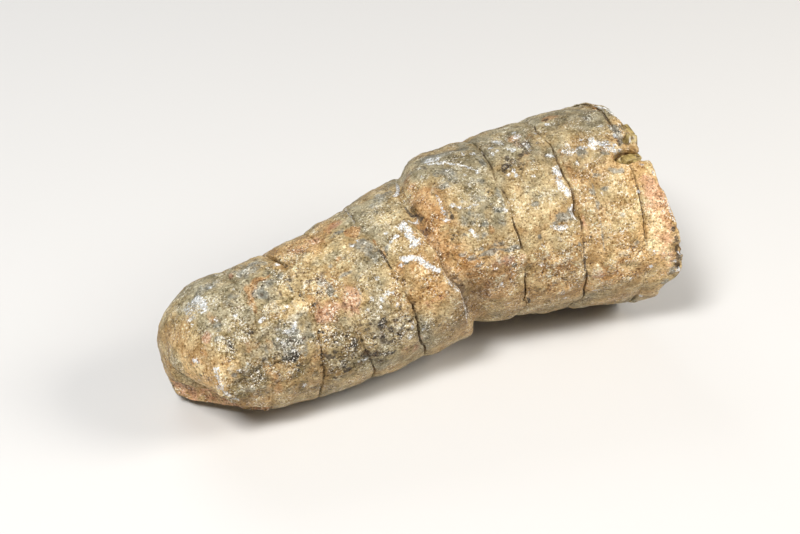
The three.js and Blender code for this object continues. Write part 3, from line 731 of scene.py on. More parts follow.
STREAKS: dict[Pigment, tuple[Streak, ...]] = {
    Pigment.CHALK: (
        Streak(
            ((47.2, 38.4), (48, 40.4), (49.2, 40.8), (50, 43.4), (51, 47.9), (51.8, 52.4), (53, 56)),
            0.42, 1, 0.12,
        ),
        Streak(((44.2, -34), (43.3, -20), (42.9, -10), (42.3, -2.5)), 0.14, 0.4, 0.05),
        Streak(((54.2, -22), (53.4, -14), (52, -9)), 0.32, 0.85, 0.08),
        Streak(((60.2, -7), (63, -4), (65.1, 2.4), (66, 5.8), (67.4, 11.4)), 0.13, 0.8, 0.03),
        Streak(
            ((53.6, 60), (54, 64), (54.9, 69), (56.5, 77), (57.1, 85), (57.6, 92), (58, 99), (58.6, 107)),
            0.18, 0.5, 0.06,
        ),
        Streak(((51.4, 17.8), (52.6, 20.6), (53.2, 23)), 0.12, 0.8, 0.05),
        Streak(((88, 17.6), (90.4, 18.4), (92.6, 17.8)), 0.2, 0.7, 0.04),
        Streak(((97.6, -20), (98.2, -8), (98.3, 2)), 0.22, 0.7, 0.04),
        # Painted highlight: a pale line along the edge of the ledge under the narrow end.
        Streak(((9, 60), (8.6, 66), (8.7, 73), (9.2, 80), (10.2, 87), (12, 95)), 0.2, 0.6, 0.05),
        Streak(((100.4, 58), (100.6, 64), (101, 69)), 0.14, 0.7, 0.04),
    ),
    Pigment.SLATE: (
        Streak(((87.1, 40), (87.2, 47), (86.9, 54), (86.7, 66), (86.7, 74), (86.8, 79.5)), 0.13, 0.6, -0.12),
        Streak(((37.5, 40), (38, 44), (37.6, 50), (36.6, 53.5)), 0.14, 0.7, -0.05),
        Streak(((62, 66), (65, 64.6), (68, 66.5), (70.6, 67.4)), 0.22, 0.7, -0.04),
    ),
    Pigment.TAR: (
        Streak(((72.2, 107.6), (72.5, 110), (72.8, 113)), 0.16, 1, -0.35),
        Streak(((83.3, 95.8), (84.2, 95.6)), 0.16, 0.9, -0.25),
        Streak(((83.2, 60), (82.9, 70), (82.8, 80), (83.2, 92), (83.4, 98)), 0.1, 0.5, -0.12),
        Streak(((88.6, 79), (87.2, 84), (86, 88)), 0.12, 0.5, -0.08),
        Streak(((18.6, 50.5), (20, 47), (20.4, 44)), 0.12, 0.5, -0.1),
        Streak(((15, 40), (15.6, 43.4), (17, 43.6)), 0.12, 0.6, -0.1),
        Streak(((12.2, 47), (12.6, 52), (12.2, 55.5)), 0.12, 0.6, -0.12),
        Streak(((44.1, 27), (44.4, 34), (44.7, 41)), 0.12, 0.7, -0.12),
        Streak(((45, 29), (45.2, 34), (45.4, 39)), 0.1, 0.5, -0.1),
        # The next two run along the break, just past its lip, and paint the shadow under the lip as dark
        # lines.
        Streak(((52.6, 4), (52.7, 12), (53.2, 19), (54, 26)), 0.16, 0.9, -0.3),
        Streak(
            ((53.1, 27), (53.7, 38), (54.3, 49), (54.6, 60), (55.7, 69), (57.2, 77), (58, 85)),
            0.14, 0.5, -0.25,
        ),
        Streak(((97, 32.4), (98.4, 33.6)), 0.12, 0.9, -0.2),
        Streak(((26.4, -14), (27, -5), (27.6, 1)), 0.22, 0.9, -0.35),
        Streak(((34.4, 52), (33.6, 56), (34.6, 60)), 0.1, 0.4, -0.05),
    ),
}

ROUGH_ZONES = marks(
    RoughZone,
    (16, 60, 7.5, 8, 0.34, 0, 0.12), (21.5, 30, 6, 7, 0.3, 0, 0.1), (22.5, 66, 3.5, 4, 0.16, 0, 0.22),
    (15, 88, 8, 5, 0.16, 0, 0.08), (13, 28, 3.5, 5, 0.16, 0, 0.1), (30.5, 12, 3.5, 6, 0.24, 0, 0.12),
    (31, 40, 4, 6, 0.18, 0, 0.12), (40.5, 84, 6.5, 6, 0.26, 0, 0.34), (32, 82, 5, 8, 0.26, 0, 0.26),
    (38, 55, 5, 5, 0.12, 0, 0.1), (50, 72, 4, 8, 0.13, 0, 0.1), (45.5, 66, 1.8, 6, 0.16, 0, 0.22),
    (49.5, 28, 3, 4, 0.1, 0, 0.1), (77, 8, 5, 4, 0.12, 0, 0.22), (95, 18, 3.5, 2.5, 0.3, 0, 0.2),
    (90, 92, 7, 6, 0.17, 0, 0.05), (78, 88, 6, 6, 0.22, 0, 0.06), (66, 80, 6, 5, 0.2, 0, 0.08),
    (101.5, 90, 1.4, 6, 0.4, 0, 0.3), (57.5, 45, 2.6, 14, 0.1, 0, 0.08), (66, 66, 4, 2.5, 0.2, 0, 0.12),
)

LEDGES = (
    Seam(
        Ring(((-60, 11), (20, 10.6), (45, 9.6), (63, 8.5), (75, 8.7), (95, 10.2), (130, 14), (180, 12))),
        Ring(((-60, 0), (15, 0), (35, 0.35), (60, 0.7), (80, 0.75), (95, 0.5), (112, 0), (180, 0))),
    ),
    Seam(
        Ring(((-60, 45), (40, 44.6), (52, 45), (62, 45.6), (75, 45.8), (90, 46.5), (120, 48))),
        Ring(((-60, 0), (38, 0), (52, 0.3), (75, 0.3), (90, 0.15), (105, 0), (180, 0))),
    ),
)

WARMTH = marks(
    Mark,
    (14.2, 78, 4, 4, 0.3), (60.8, 92, 4, 4, 0.3), (57.5, 50, 4, 8, 0.1), (20, -100, 12, 14, 0.3),
    (45, -80, 8, 12, -0.35), (70, -110, 10, 14, 0.3), (92, -75, 9, 12, -0.35), (80, -160, 14, 12, 0.3),
    (40, -160, 12, 12, -0.3), (10, -8, 7, 10, -0.4), (14, 24, 6, 8, -0.25), (21, 62, 6, 8, -0.3),
    (2, 10, 5, 14, 0.16), (15, 84, 9, 7, 0.6), (26, 88, 6, 6, 0.3), (54, 36, 1.6, 8, 0.5),
    (48, 60, 5, 6, 0.1), (61, 74, 4, 5, 0.3), (63, 90, 5, 5, 0.3), (60.5, 60, 2.6, 4, -0.35),
    (23, 2, 4, 6, -0.3), (46, 2, 6, 8, -0.45), (63, -8, 8, 6, -0.45), (66, 18, 6, 9, -0.25),
    (92, -8, 8, 7, -0.4), (74, -14, 6, 5, -0.3), (52, 64, 4, 8, 0.3), (57, 30, 3, 12, 0.45),
    (62, 82, 7, 8, 0.45), (78, 90, 10, 9, 0.45), (92, 86, 10, 9, 0.45), (98, 56, 4, 12, 0.5),
    (90, 14, 5, 5, 0.25), (88, 58, 6, 8, 0.25), (6, 58, 4, 5, 0.3), (31, 28, 4, 6, 0.3), (36, 46, 4, 4, 0.3),
    (34, -12, 8, 5, 0.35), (47, 40, 4, 6, 0.2), (84, 30, 2, 8, 0.3), (72, 40, 3, 10, 0.15),
    (40, 84, 8, 7, -0.15), (64, 44, 5, 5, -0.2), (22, 96, 6, 5, -0.1), (55, 70, 4, 8, 0.3),
)

# Painted light and shade, with some tone: broad soft spots that make the stone's colour lighter where it is
# to look more lit and darker where it is to look shaded, such as on the lower flank and the top of the wide
# part, and that vary its tone on the hidden back.
SHADE = marks(
    Mark,
    (36, 6, 3, 3, 0.2), (51.5, 70, 2.4, 3, 0.15), (49.5, 56, 2.4, 3, 0.08), (76, 5, 2.4, 2.6, 0.12),
    (57.8, 69, 1.6, 2.6, 0.14), (61.5, 94, 2, 2.4, -0.06), (99.3, 64, 2, 4, 0.06), (40.2, 50, 3, 3, 0.05),
    (86.2, 99, 4, 3, 0.05), (30, -90, 12, 10, 0.07), (60, -110, 10, 12, -0.06), (86, -90, 10, 12, 0.06),
    (57.5, 74, 3, 5, -0.1), (56.5, 92, 4, 6, -0.15), (50, 96, 5, 5, -0.08), (57.5, 50, 3, 4, 0.04),
    (53.8, 34, 1.2, 5, -0.08), (58.4, 68, 1.6, 2.4, 0.12), (60, 72, 2, 2, 0.1), (63.5, 46, 4, 4, -0.08),
    (75, 12, 4, 4, 0.1), (3.6, 84, 5, 4, 0.34), (22.5, 14, 3, 3, 0.06), (14, 78, 5, 4, -0.2),
    (60.8, 92, 4, 4, -0.08), (66, 88, 5, 4, -0.08), (90, 92, 7, 6, 0.05), (69, -8, 9, 6, -0.13),
    (77, 8, 6, 6, -0.13), (85, 18, 5, 5, -0.11), (92, -8, 6, 6, -0.16), (62, -10, 5, 5, -0.08),
    (42, 92, 8, 6, -0.05), (28, 92, 7, 6, -0.13), (20, 62, 4, 4, -0.07), (38, 74, 6, 5, -0.09),
    (94, 50, 5, 10, 0.1), (98, 70, 4, 10, 0.1), (92, 84, 8, 6, 0.08), (97, 36, 3, 4, 0.08),
    (64, 80, 5, 4, -0.06), (11.2, 58, 2.2, 2.6, 0.16), (15.8, 49, 2.2, 2.4, -0.14),
    (26.8, 33, 2.4, 2.6, 0.12), (24, 51, 1.6, 2, -0.06), (41.5, 86, 2.6, 2.4, 0.08),
    (98.8, 79, 3.2, 10, 0.22), (85.5, 8, 2.6, 2.6, 0.12), (7.5, 55, 2, 2, -0.1), (40, 20, 5, 6, -0.05),
    (46, 0, 4, 5, 0.03), (6, -8, 6, 8, 0.06), (7, 62, 4, 4, 0.06),
)

LUMPS = marks(
    Lump,
    (22.2, 14.5, 2.5, 2.1, 1.3, 20, 1.7), (22.2, 14.5, 3.2, 2.9, -0.75, 20), (24.9, 20.5, 0.8, 1.1, 0.4),
    (22, 28.4, 2.6, 0.5, 0.28), (22.6, 32.4, 1.8, 0.6, -0.25), (18.7, 38.2, 0.8, 0.7, 0.35),
    (24, 35.2, 1.9, 0.7, 0.3, 25), (20.6, 44, 1.2, 1.2, 0.25), (14, 46, 1.4, 1, 0.22),
    (11.4, 41, 0.9, 0.7, -0.25), (17, 62, 1.2, 1.8, 0.25, -30), (13, 66, 1.4, 2.2, 0.28, -30),
    (22.8, 71, 1.2, 1, -0.4), (8.7, 70, 0.9, 4, 0.22), (10.4, 45, 1, 2.2, 0.2), (31.4, 3.2, 1.8, 1, 0.22),
    (28.8, 14, 1.4, 2.6, 0.2), (37, 22.8, 1.5, 1.1, 0.22), (33.8, 30, 0.4, 2.4, -0.22),
    (36.1, 47.5, 1.6, 2.4, 0.2, 0, 2.2), (30.6, 53.6, 2.2, 1.1, 0.16, 0, 2.2),
    (41.4, 3, 1.4, 1.5, -0.25, 0, 1.6), (49.4, 17.6, 0.9, 0.5, 0.28), (50.3, 32.9, 0.9, 0.8, 0.3),
    (49.6, 52.9, 0.6, 0.45, 0.25), (60.8, 30, 2.2, 5, 0.34), (57.6, 30, 0.7, 5.4, -0.45),
    (62, -12, 2, 2, 0.3), (65, 64.4, 4, 0.5, -0.3, 2, 1.4), (66, 73.5, 5, 1.8, 0.4, 0, 1.5),
    (62, 88, 3, 2.6, 0.3), (82.4, 54.4, 0.5, 1.1, -0.8, 0, 2), (80.6, 54, 1.6, 1.1, -0.25),
    (73.6, 22, 0.8, 1, 0.25), (74.6, 8, 0.9, 0.9, -0.4), (72.6, 16.6, 0.6, 0.9, -0.3),
    (76.9, 9.6, 0.7, 0.6, -0.3), (76.1, 5.2, 0.6, 0.7, 0.3), (79, 2, 1.4, 1.2, -0.25),
    (81.9, 28, 0.6, 1.4, 0.22), (87.7, 86.8, 1.7, 0.9, 0.42), (88.6, 91.2, 1, 0.9, 0.35),
    (93, 93.6, 1.8, 0.8, -0.3, 30), (91, 100, 2.2, 1.6, 0.3), (96.4, 88, 1.6, 2, 0.3),
    (93.2, 19, 1.8, 0.9, 0.3), (98, 24.2, 1.5, 0.7, 0.9, 0, 1.4), (97.1, 18.6, 0.7, 1.3, -1.8, 0, 1.5),
    (99.2, 14, 1, 2.6, -1.5, 0, 1.5), (96.4, 29.4, 2.9, 1.25, -2.2, 8, 2), (101.7, 86, 1, 2.6, -0.45),
    (98, 51, 1.6, 4, 0.22, 0, 1.6), (84, 90, 1.6, 2, 0.25), (78.6, 106, 2.6, 2.2, 0.3),
    (68.6, 100, 2.6, 2, 0.25), (45.2, 58, 0.7, 3, 0.2), (52.6, 60, 0.9, 5, 0.25), (54.6, 80, 1.4, 4, 0.3),
    (55.4, 95, 1.4, 3, 0.25),
)

SPECKLED = marks(
    Mark,
    (41, 84, 6, 5.5), (32, 82, 4, 7), (23, 70, 2.6, 3, 0.8), (76, 11, 4.5, 4, 0.5), (52, 86, 3, 5, 0.6),
    (12, 80, 4, 3, 0.5), (92, 76, 4, 3, 0.35), (66, 66, 4, 1.6, 0.5), (24, 96, 4, 4, 0.5),
)

MOUTH_RINGS = (MouthRing(Pigment.CHALK, 0.8, 1.2, 0.2), MouthRing(Pigment.SLATE, 0.7, 1.75, 0.4))

WILD = {
    Pigment.CHALK: WildPatch(3.2, 0.42, 1.0),
    Pigment.SLATE: WildPatch(6.5, 0.22, 0.7),
    Pigment.TAR: WildPatch(1.8, 0.5, 0.9),
    Pigment.RUST: WildPatch(8.0, 0.16, 0.75),
    Pigment.CREAM: WildPatch(5.0, 0.2, 0.8),
    Pigment.ROSE: WildPatch(9.0, 0.24, 0.7),
    Pigment.OLIVE: WildPatch(7.0, 0.2, 0.55),
}

# The number of the wide rim, where the narrow rim is 0 and each seam counts.
RIM = len(SEAMS) + 1


# ------------------------------------------------------------------ the form of the cast


@dataclass
class Skin:
    """What each vertex of the cast knows of its place, a number or a row of three for each.

    Attributes:
        chamber: Chamber number plus the share of the way along it, below 0 on the narrow end.
        angle: Degrees round the cast.
        reach: Distance along the skin: x on the flank, and on over the rims to the end faces.
        radius: Distance from the axis.
        points: Places.
        normals: Directions out of the stone.
        good_side: The direction of the side on which the listed marks lie.
    """

    chamber: Array
    angle: Array
    reach: Array
    radius: Array
    points: Array
    normals: Array
    good_side: tuple[float, float, float] = (-0.34, -0.72, 0.61)

    def hidden(self) -> Array:
        """1 on the back, the belly and the wide face, where no marks are listed."""
        return smooth_step(self.normals @ np.array(self.good_side), 0.06, -0.2)

    def flank(self) -> Array:
        """1 between the rims, and 0 on the end faces."""
        return ((self.chamber >= 0) & (self.chamber <= RIM)).astype(float)

    def around(self, index: Array, angle: float) -> Array:
        """Distances round the cast from an angle, for some of the vertices."""
        return np.radians(turn_between(self.angle[index], angle)) * self.radius[index]

    def oval(self, mark: Mark, least: float = 0.0) -> tuple[Array, Array]:
        """Measures the skin near a mark.

        Args:
            mark: The mark.
            least: The smallest half size it is taken to have.

        Returns:
            The vertices near it, and their distance from its middle, 1 on its outline.
        """
        along, around = max(mark.along, least), max(mark.around, least)
        near = 3 * max(along, around)
        index = np.nonzero(np.abs(self.reach - mark.x) < near)[0]
        index = index[np.abs(self.around(index, mark.angle)) < near]
        u, w = self.reach[index] - mark.x, self.around(index, mark.angle)
        cos, sin = math.cos(math.radians(mark.turn)), math.sin(math.radians(mark.turn))
        return index, np.hypot((u * cos + w * sin) / along, (w * cos - u * sin) / around)

    def line(self, streak: Streak) -> Array:
        """Measures the skin near a streak.

        Args:
            streak: The streak.

        Returns:
            The distance of every vertex from it, or FAR far away.
        """
        least = np.full(len(self.angle), FAR)
        widest, margin = 22, 2
        for (x0, a0), (x1, a1) in itertools.pairwise(streak.points):
            near = abs(x1 - x0) + abs(math.radians(a1 - a0)) * widest + margin
            index = np.nonzero(np.abs(self.reach - x0) < near)[0]
            index = index[np.abs(self.around(index, a0)) < near]
            u, w = self.reach[index] - x0, self.around(index, a0)
            du, dw = x1 - x0, math.radians(a1 - a0) * self.radius[index]
            share = np.clip((u * du + w * dw) / (du**2 + dw**2 + 1e-9), 0, 1)
            least[index] = np.minimum(least[index], np.hypot(u - share * du, w - share * dw))
        return least


@dataclass(frozen=True)
class Channel:
    """The channel that follows the break, on its wide side.

    Attributes:
        depth: How deep it is where it is deepest.
        towards: The angle where that is.
        least: Its share of the depth on the far side.
        middle: How far past the break it is deepest.
        sharp: Half width of its narrow side where the lip is sharp.
        blunt: The same where the lip is blunt.
        sharpens: Where the lip turns sharp: an angle, and the turns from it to the start and the end.
        easy: Half width of its wide side.
    """

    depth: float = 1.9
    towards: float = 66.0
    least: float = 0.15
    middle: float = 0.8
    sharp: float = 0.55
    blunt: float = 1.3
    sharpens: tuple[float, float, float] = (26.0, -20.0, 15.0)
    easy: float = 3.4

    def at(self, past: Array, angle: Array) -> Array:
        """How deep it is.

        Args:
            past: Distance past the break.
            angle: Degrees round the cast.

        Returns:
            The depth at each place.
        """
        facing = 0.5 + 0.5 * np.cos(np.radians(angle - self.towards))
        distance = past - self.middle
        middle, start, end = self.sharpens
        turned_sharp = smooth_step(turn_between(angle, middle), start, end)
        steep = self.blunt - (self.blunt - self.sharp) * turned_sharp
        width = np.where(distance < 0, steep, self.easy)
        return self.depth * (self.least + (1 - self.least) * facing) * hump(distance, width)


@dataclass(frozen=True)
class Siphuncle:
    """The mouth of the tube that ran through the chambers, in the dish of the wide end.

    Attributes:
        y: How far to the side of the dish's middle it lies.
        z: How far above it.
        radius: Its radius.
        depth: How deep it is.
        floor: Where its floor ends, in radii.
        lip: Height, radius and half width of the lip round it, the last two in radii.
    """

    y: float = 1.5
    z: float = 1.0
    radius: float = 3.2
    depth: float = 1.5
    floor: float = 0.55
    lip: tuple[float, float, float] = (0.4, 1.2, 0.3)

    def hollow(self, away: Array) -> Array:
        """How deep the face lies at distances in radii of the mouth."""
        height, radius, width = self.lip
        return self.depth * smooth_step(away, 1.0, self.floor) - height * hump(away - radius, width)


@dataclass(frozen=True)
class Wear:
    """The broken corner under the narrow end, and the worn belly.

    Attributes:
        rough: How uneven the broken faces are.
        corner: x of the broken corner's face, how far it slants to the side and how far it leans
            back above a height, which comes last.
        under: Height of the face under the narrow end, and how it falls along and to the side.
        under_until: Where along the cast that face ends.
        belly: Height of the belly.
        rounding: How far the edges of the corner, of the face under it and of the belly are rounded.
    """

    rough: Layer = Layer(71, 2.6, 0.45, 3)
    corner: tuple[float, float, float, float] = (7.6, 0.88, 2.5, 7.1)
    under: tuple[float, float, float] = (4.6, 0.19, 0.35)
    under_until: float = 30.0
    belly: float = 0.45
    rounding: tuple[float, float, float] = (0.3, 1.2, 0.6)

    def apply(self, points: Array) -> Array:
        """Cuts and wears the stone.

        Args:
            points: The places, changed here.

        Returns:
            How deep each place was cut by the corner break.
        """
        x, y, z = points.T
        rough = self.rough.at(points)
        start, slant, lean, top = self.corner
        corner = start - slant * y - lean * np.maximum(0, z - top) + rough
        cut = np.maximum(corner - x, 0)
        x[:] = soft_max(x, corner, self.rounding[0])
        height, fall, side_fall = self.under
        under = np.where(x < self.under_until, height - fall * x - side_fall * y + rough * 1.2, -FAR)
        z[:] = soft_max(z, under, self.rounding[1])
        z[:] = soft_max(z, self.belly + 0.3 * rough, self.rounding[2])
        return cut


@dataclass(frozen=True)
class CastForm:
    """The large form of the cast: two shifted lengths, a broken dome and a dish.

    Each length gives rows of x, how far to the side its middle lies, how high, and its radius.
    """

    narrow_length: Rows = Rows((
        (-4, 0.3, 12.9, 12.4), (8, 0.0, 13.4, 13.1), (21, -0.3, 14.1, 14.2),
        (34, -0.2, 15.2, 15.3), (46, 0.6, 17.4, 16.4), (62, 1.7, 20.6, 17.6),
    ))
    wide_length: Rows = Rows((
        (50, 3.9, 21.3, 16.8), (60, 3.5, 21.4, 17.3), (75, 2.9, 21.5, 18.5),
        (89, 1.9, 21.3, 20.0), (106, -0.2, 21.2, 21.8),
    ))
    narrow_rim: Ring = Ring((
        (-150, 6), (-110, 7), (-60, 10), (-15, 11), (20, 10.6), (45, 8.8), (62, 7.7),
        (80, 8.5), (92, 10), (104, 12.3), (128, 17), (150, 12), (175, 7),
    ))
    break_line: Ring = Ring((
        (-140, 59.5), (-80, 58.4), (-37, 56.8), (-20, 54.6), (-9, 53.2), (4, 52.6), (12, 52.5),
        (18, 52.0), (27, 52.5), (38, 53.1), (49, 53.7), (60, 53.9), (69, 55.0), (77, 56.5),
        (85, 57.3), (92, 57.8), (99, 58.3), (106, 59.0), (115, 60.2), (125, 61.0), (140, 61.3),
        (180, 60.6),
    ))
    wide_rim: Ring = Ring((
        (-150, 100.6), (-100, 99.4), (-55, 98.6), (-22, 98.3), (-15, 98.9), (-5, 98.7), (3, 98.7),
        (8, 99.4), (17, 99.6), (23, 98.9), (27, 98.2), (31, 98.8), (36, 99.5), (48, 99.5),
        (53, 100.1), (60, 100.8), (72, 101.3), (80, 102.0), (87, 102.4), (98, 102.9),
        (104, 102.4), (110, 101.2), (118, 100.4), (127, 100.8), (140, 99.6), (165, 100.0),
    ))
    shoulder: float = 3.5
    swell: float = 0.3
    channel: Channel = Channel()
    bite: Lump = Lump(98.4, 28, 3.4, 1.8, 2.6)
    dome_top: tuple[float, float, float] = (2.9, 2.5, 14.6)
    dome_power: float = 2.7
    broken_power: float = 0.95
    broken_towards: float = 140.0
    dish_middle: tuple[float, float, float] = (96.0, 0.3, 21.0)
    dish_power: float = 2.2
    siphon: Siphuncle = Siphuncle()
    wear: Wear = Wear()

    def seam_x(self, number: int, angle: Array) -> Array:
        """Where a seam runs.

        Args:
            number: Which seam, where 0 is the narrow rim and the last is the wide one.
            angle: Degrees round the cast.

        Returns:
            x at each angle.
        """
        if number == 0:
            return self.narrow_rim.at(angle)
        if number == RIM:
            return self.wide_rim.at(angle)
        seam = SEAMS[number - 1]
        return seam.line.at(angle) if seam else self.break_line.at(angle)

    def section(self, x: Array, angle: Array) -> tuple[Array, Array, Array]:
        """The plain round section.

        Args:
            x: Places along the cast.
            angle: Degrees round it.

        Returns:
            How far to the side its middle lies, how high, and its radius.
        """
        share = smooth_step(x - self.break_line.at(angle), -0.5, self.shoulder)[..., None]
        narrow = self.narrow_length.at(np.minimum(x, self.narrow_length.rows[-1][0]))
        wide = self.wide_length.at(np.maximum(x, self.wide_length.rows[0][0]))
        side, height, radius = np.moveaxis(narrow + (wide - narrow) * share, -1, 0)
        return side, height, radius

    def place(self, chamber: Array, angle: Array) -> Skin:
        """Places vertices on the plain form, without seams or grain.

        Args:
            chamber: Chamber number plus the share of the way along it.
            angle: Degrees round the cast.

        Returns:
            The skin, its normals still empty.
        """
        flank = np.clip(chamber, 0.0, float(RIM))
        number = np.minimum(flank.astype(int), RIM - 1)
        share = flank - number
        lines = np.stack([self.seam_x(i, angle) for i in range(RIM + 1)])
        each = np.arange(len(angle))
        x = lines[number, each] * (1 - share) + lines[number + 1, each] * share
        side, height, radius = self.section(x, angle)
        turned = np.radians(angle)
        bite = self.bite.strength * hump(x - self.bite.x, self.bite.along)
        bite *= hump(np.radians(turn_between(angle, self.bite.angle)) * radius, self.bite.around)
        out = radius + self.swell * np.clip(4 * share * (1 - share), 0, 1) ** 0.7 - bite
        out -= self.channel.at(x - self.break_line.at(angle), angle)
        rim = np.stack((x, side - out * np.sin(turned), height + out * np.cos(turned)), axis=1)

        points = rim.copy()
        self._dome(points, rim, chamber, angle)
        self._dish(points, rim, chamber)
        in_face = np.clip(1 + np.minimum(chamber, 0), 0, 1) * np.clip(RIM + 1 - chamber, 0, 1)
        gone = np.linalg.norm(points - rim, axis=1)
        reach = x + np.where(chamber < 0, -gone, gone)
        return Skin(chamber, angle, reach, out * in_face, points, np.zeros_like(points))

    @staticmethod
    def _drawn(middle: tuple[float, ...], rim: Array, share: Array, power: Array | float) -> Array:
        """Draws a rim in to a middle.

        Args:
            middle: The middle.
            rim: Places on the rim.
            share: How much of the way out each place is left.
            power: How full the drawn face is.

        Returns:
            The drawn places.
        """
        made = np.array(middle) + (rim - middle) * share[:, None]
        made[:, 0] = middle[0] + (rim[:, 0] - middle[0]) * share**power
        return made

    def _dome(self, points: Array, rim: Array, chamber: Array, angle: Array) -> None:
        """Draws the narrow end in to its domed top.

        Args:
            points: The places, changed here.
            rim: The places on the rim.
            chamber: Chamber numbers.
            angle: Degrees round the cast.
        """
        inside = chamber < 0
        broken = np.maximum(0, np.cos(np.radians(angle[inside] - self.broken_towards)))
        power = self.dome_power + (self.broken_power - self.dome_power) * broken
        points[inside] = self._drawn(self.dome_top, rim[inside], 1 + chamber[inside], power)

    def _dish(self, points: Array, rim: Array, chamber: Array) -> None:
        """Hollows the wide end to its dish, with the mouth of the siphuncle in it.

        Args:
            points: The places, changed here.
            rim: The places on the rim.
            chamber: Chamber numbers.
        """
        inside = chamber > RIM
        share = RIM + 1 - chamber[inside]
        points[inside] = self._drawn(self.dish_middle, rim[inside], share, self.dish_power)
        points[:, 0] -= self.siphon.hollow(self.from_siphon(points, chamber))

    def from_siphon(self, points: Array, chamber: Array) -> Array:
        """How far places are from the middle of the siphuncle's mouth.

        Args:
            points: The places.
            chamber: Chamber numbers.

        Returns:
            Distances in radii of the mouth, or FAR outside the dish.
        """
        _, y, z = self.dish_middle
        away = np.hypot(points[:, 1] - y - self.siphon.y, points[:, 2] - z - self.siphon.z)
        return np.where(chamber > RIM + 0.1, away / self.siphon.radius, FAR)


# ------------------------------------------------------------------ weathering


@dataclass
class Surface:
    """What weathering made of each vertex, with the shade and highlight painted along with it.

    Attributes:
        rise: How far it stands out.
        dirt_and_shade: How dark it is, with grime and painted shade.
        worn: How pale it is, worn on the crests and painted with a highlight there.
        rough: How rough it is.
    """

    rise: Array
    dirt_and_shade: Array
    worn: Array
    rough: Array

    def add_dirt_and_shade(self, dirt_and_shade: Array) -> None:
        """Makes the surface at least this dark, with grime and painted shade alike."""
        self.dirt_and_shade = np.maximum(self.dirt_and_shade, dirt_and_shade)


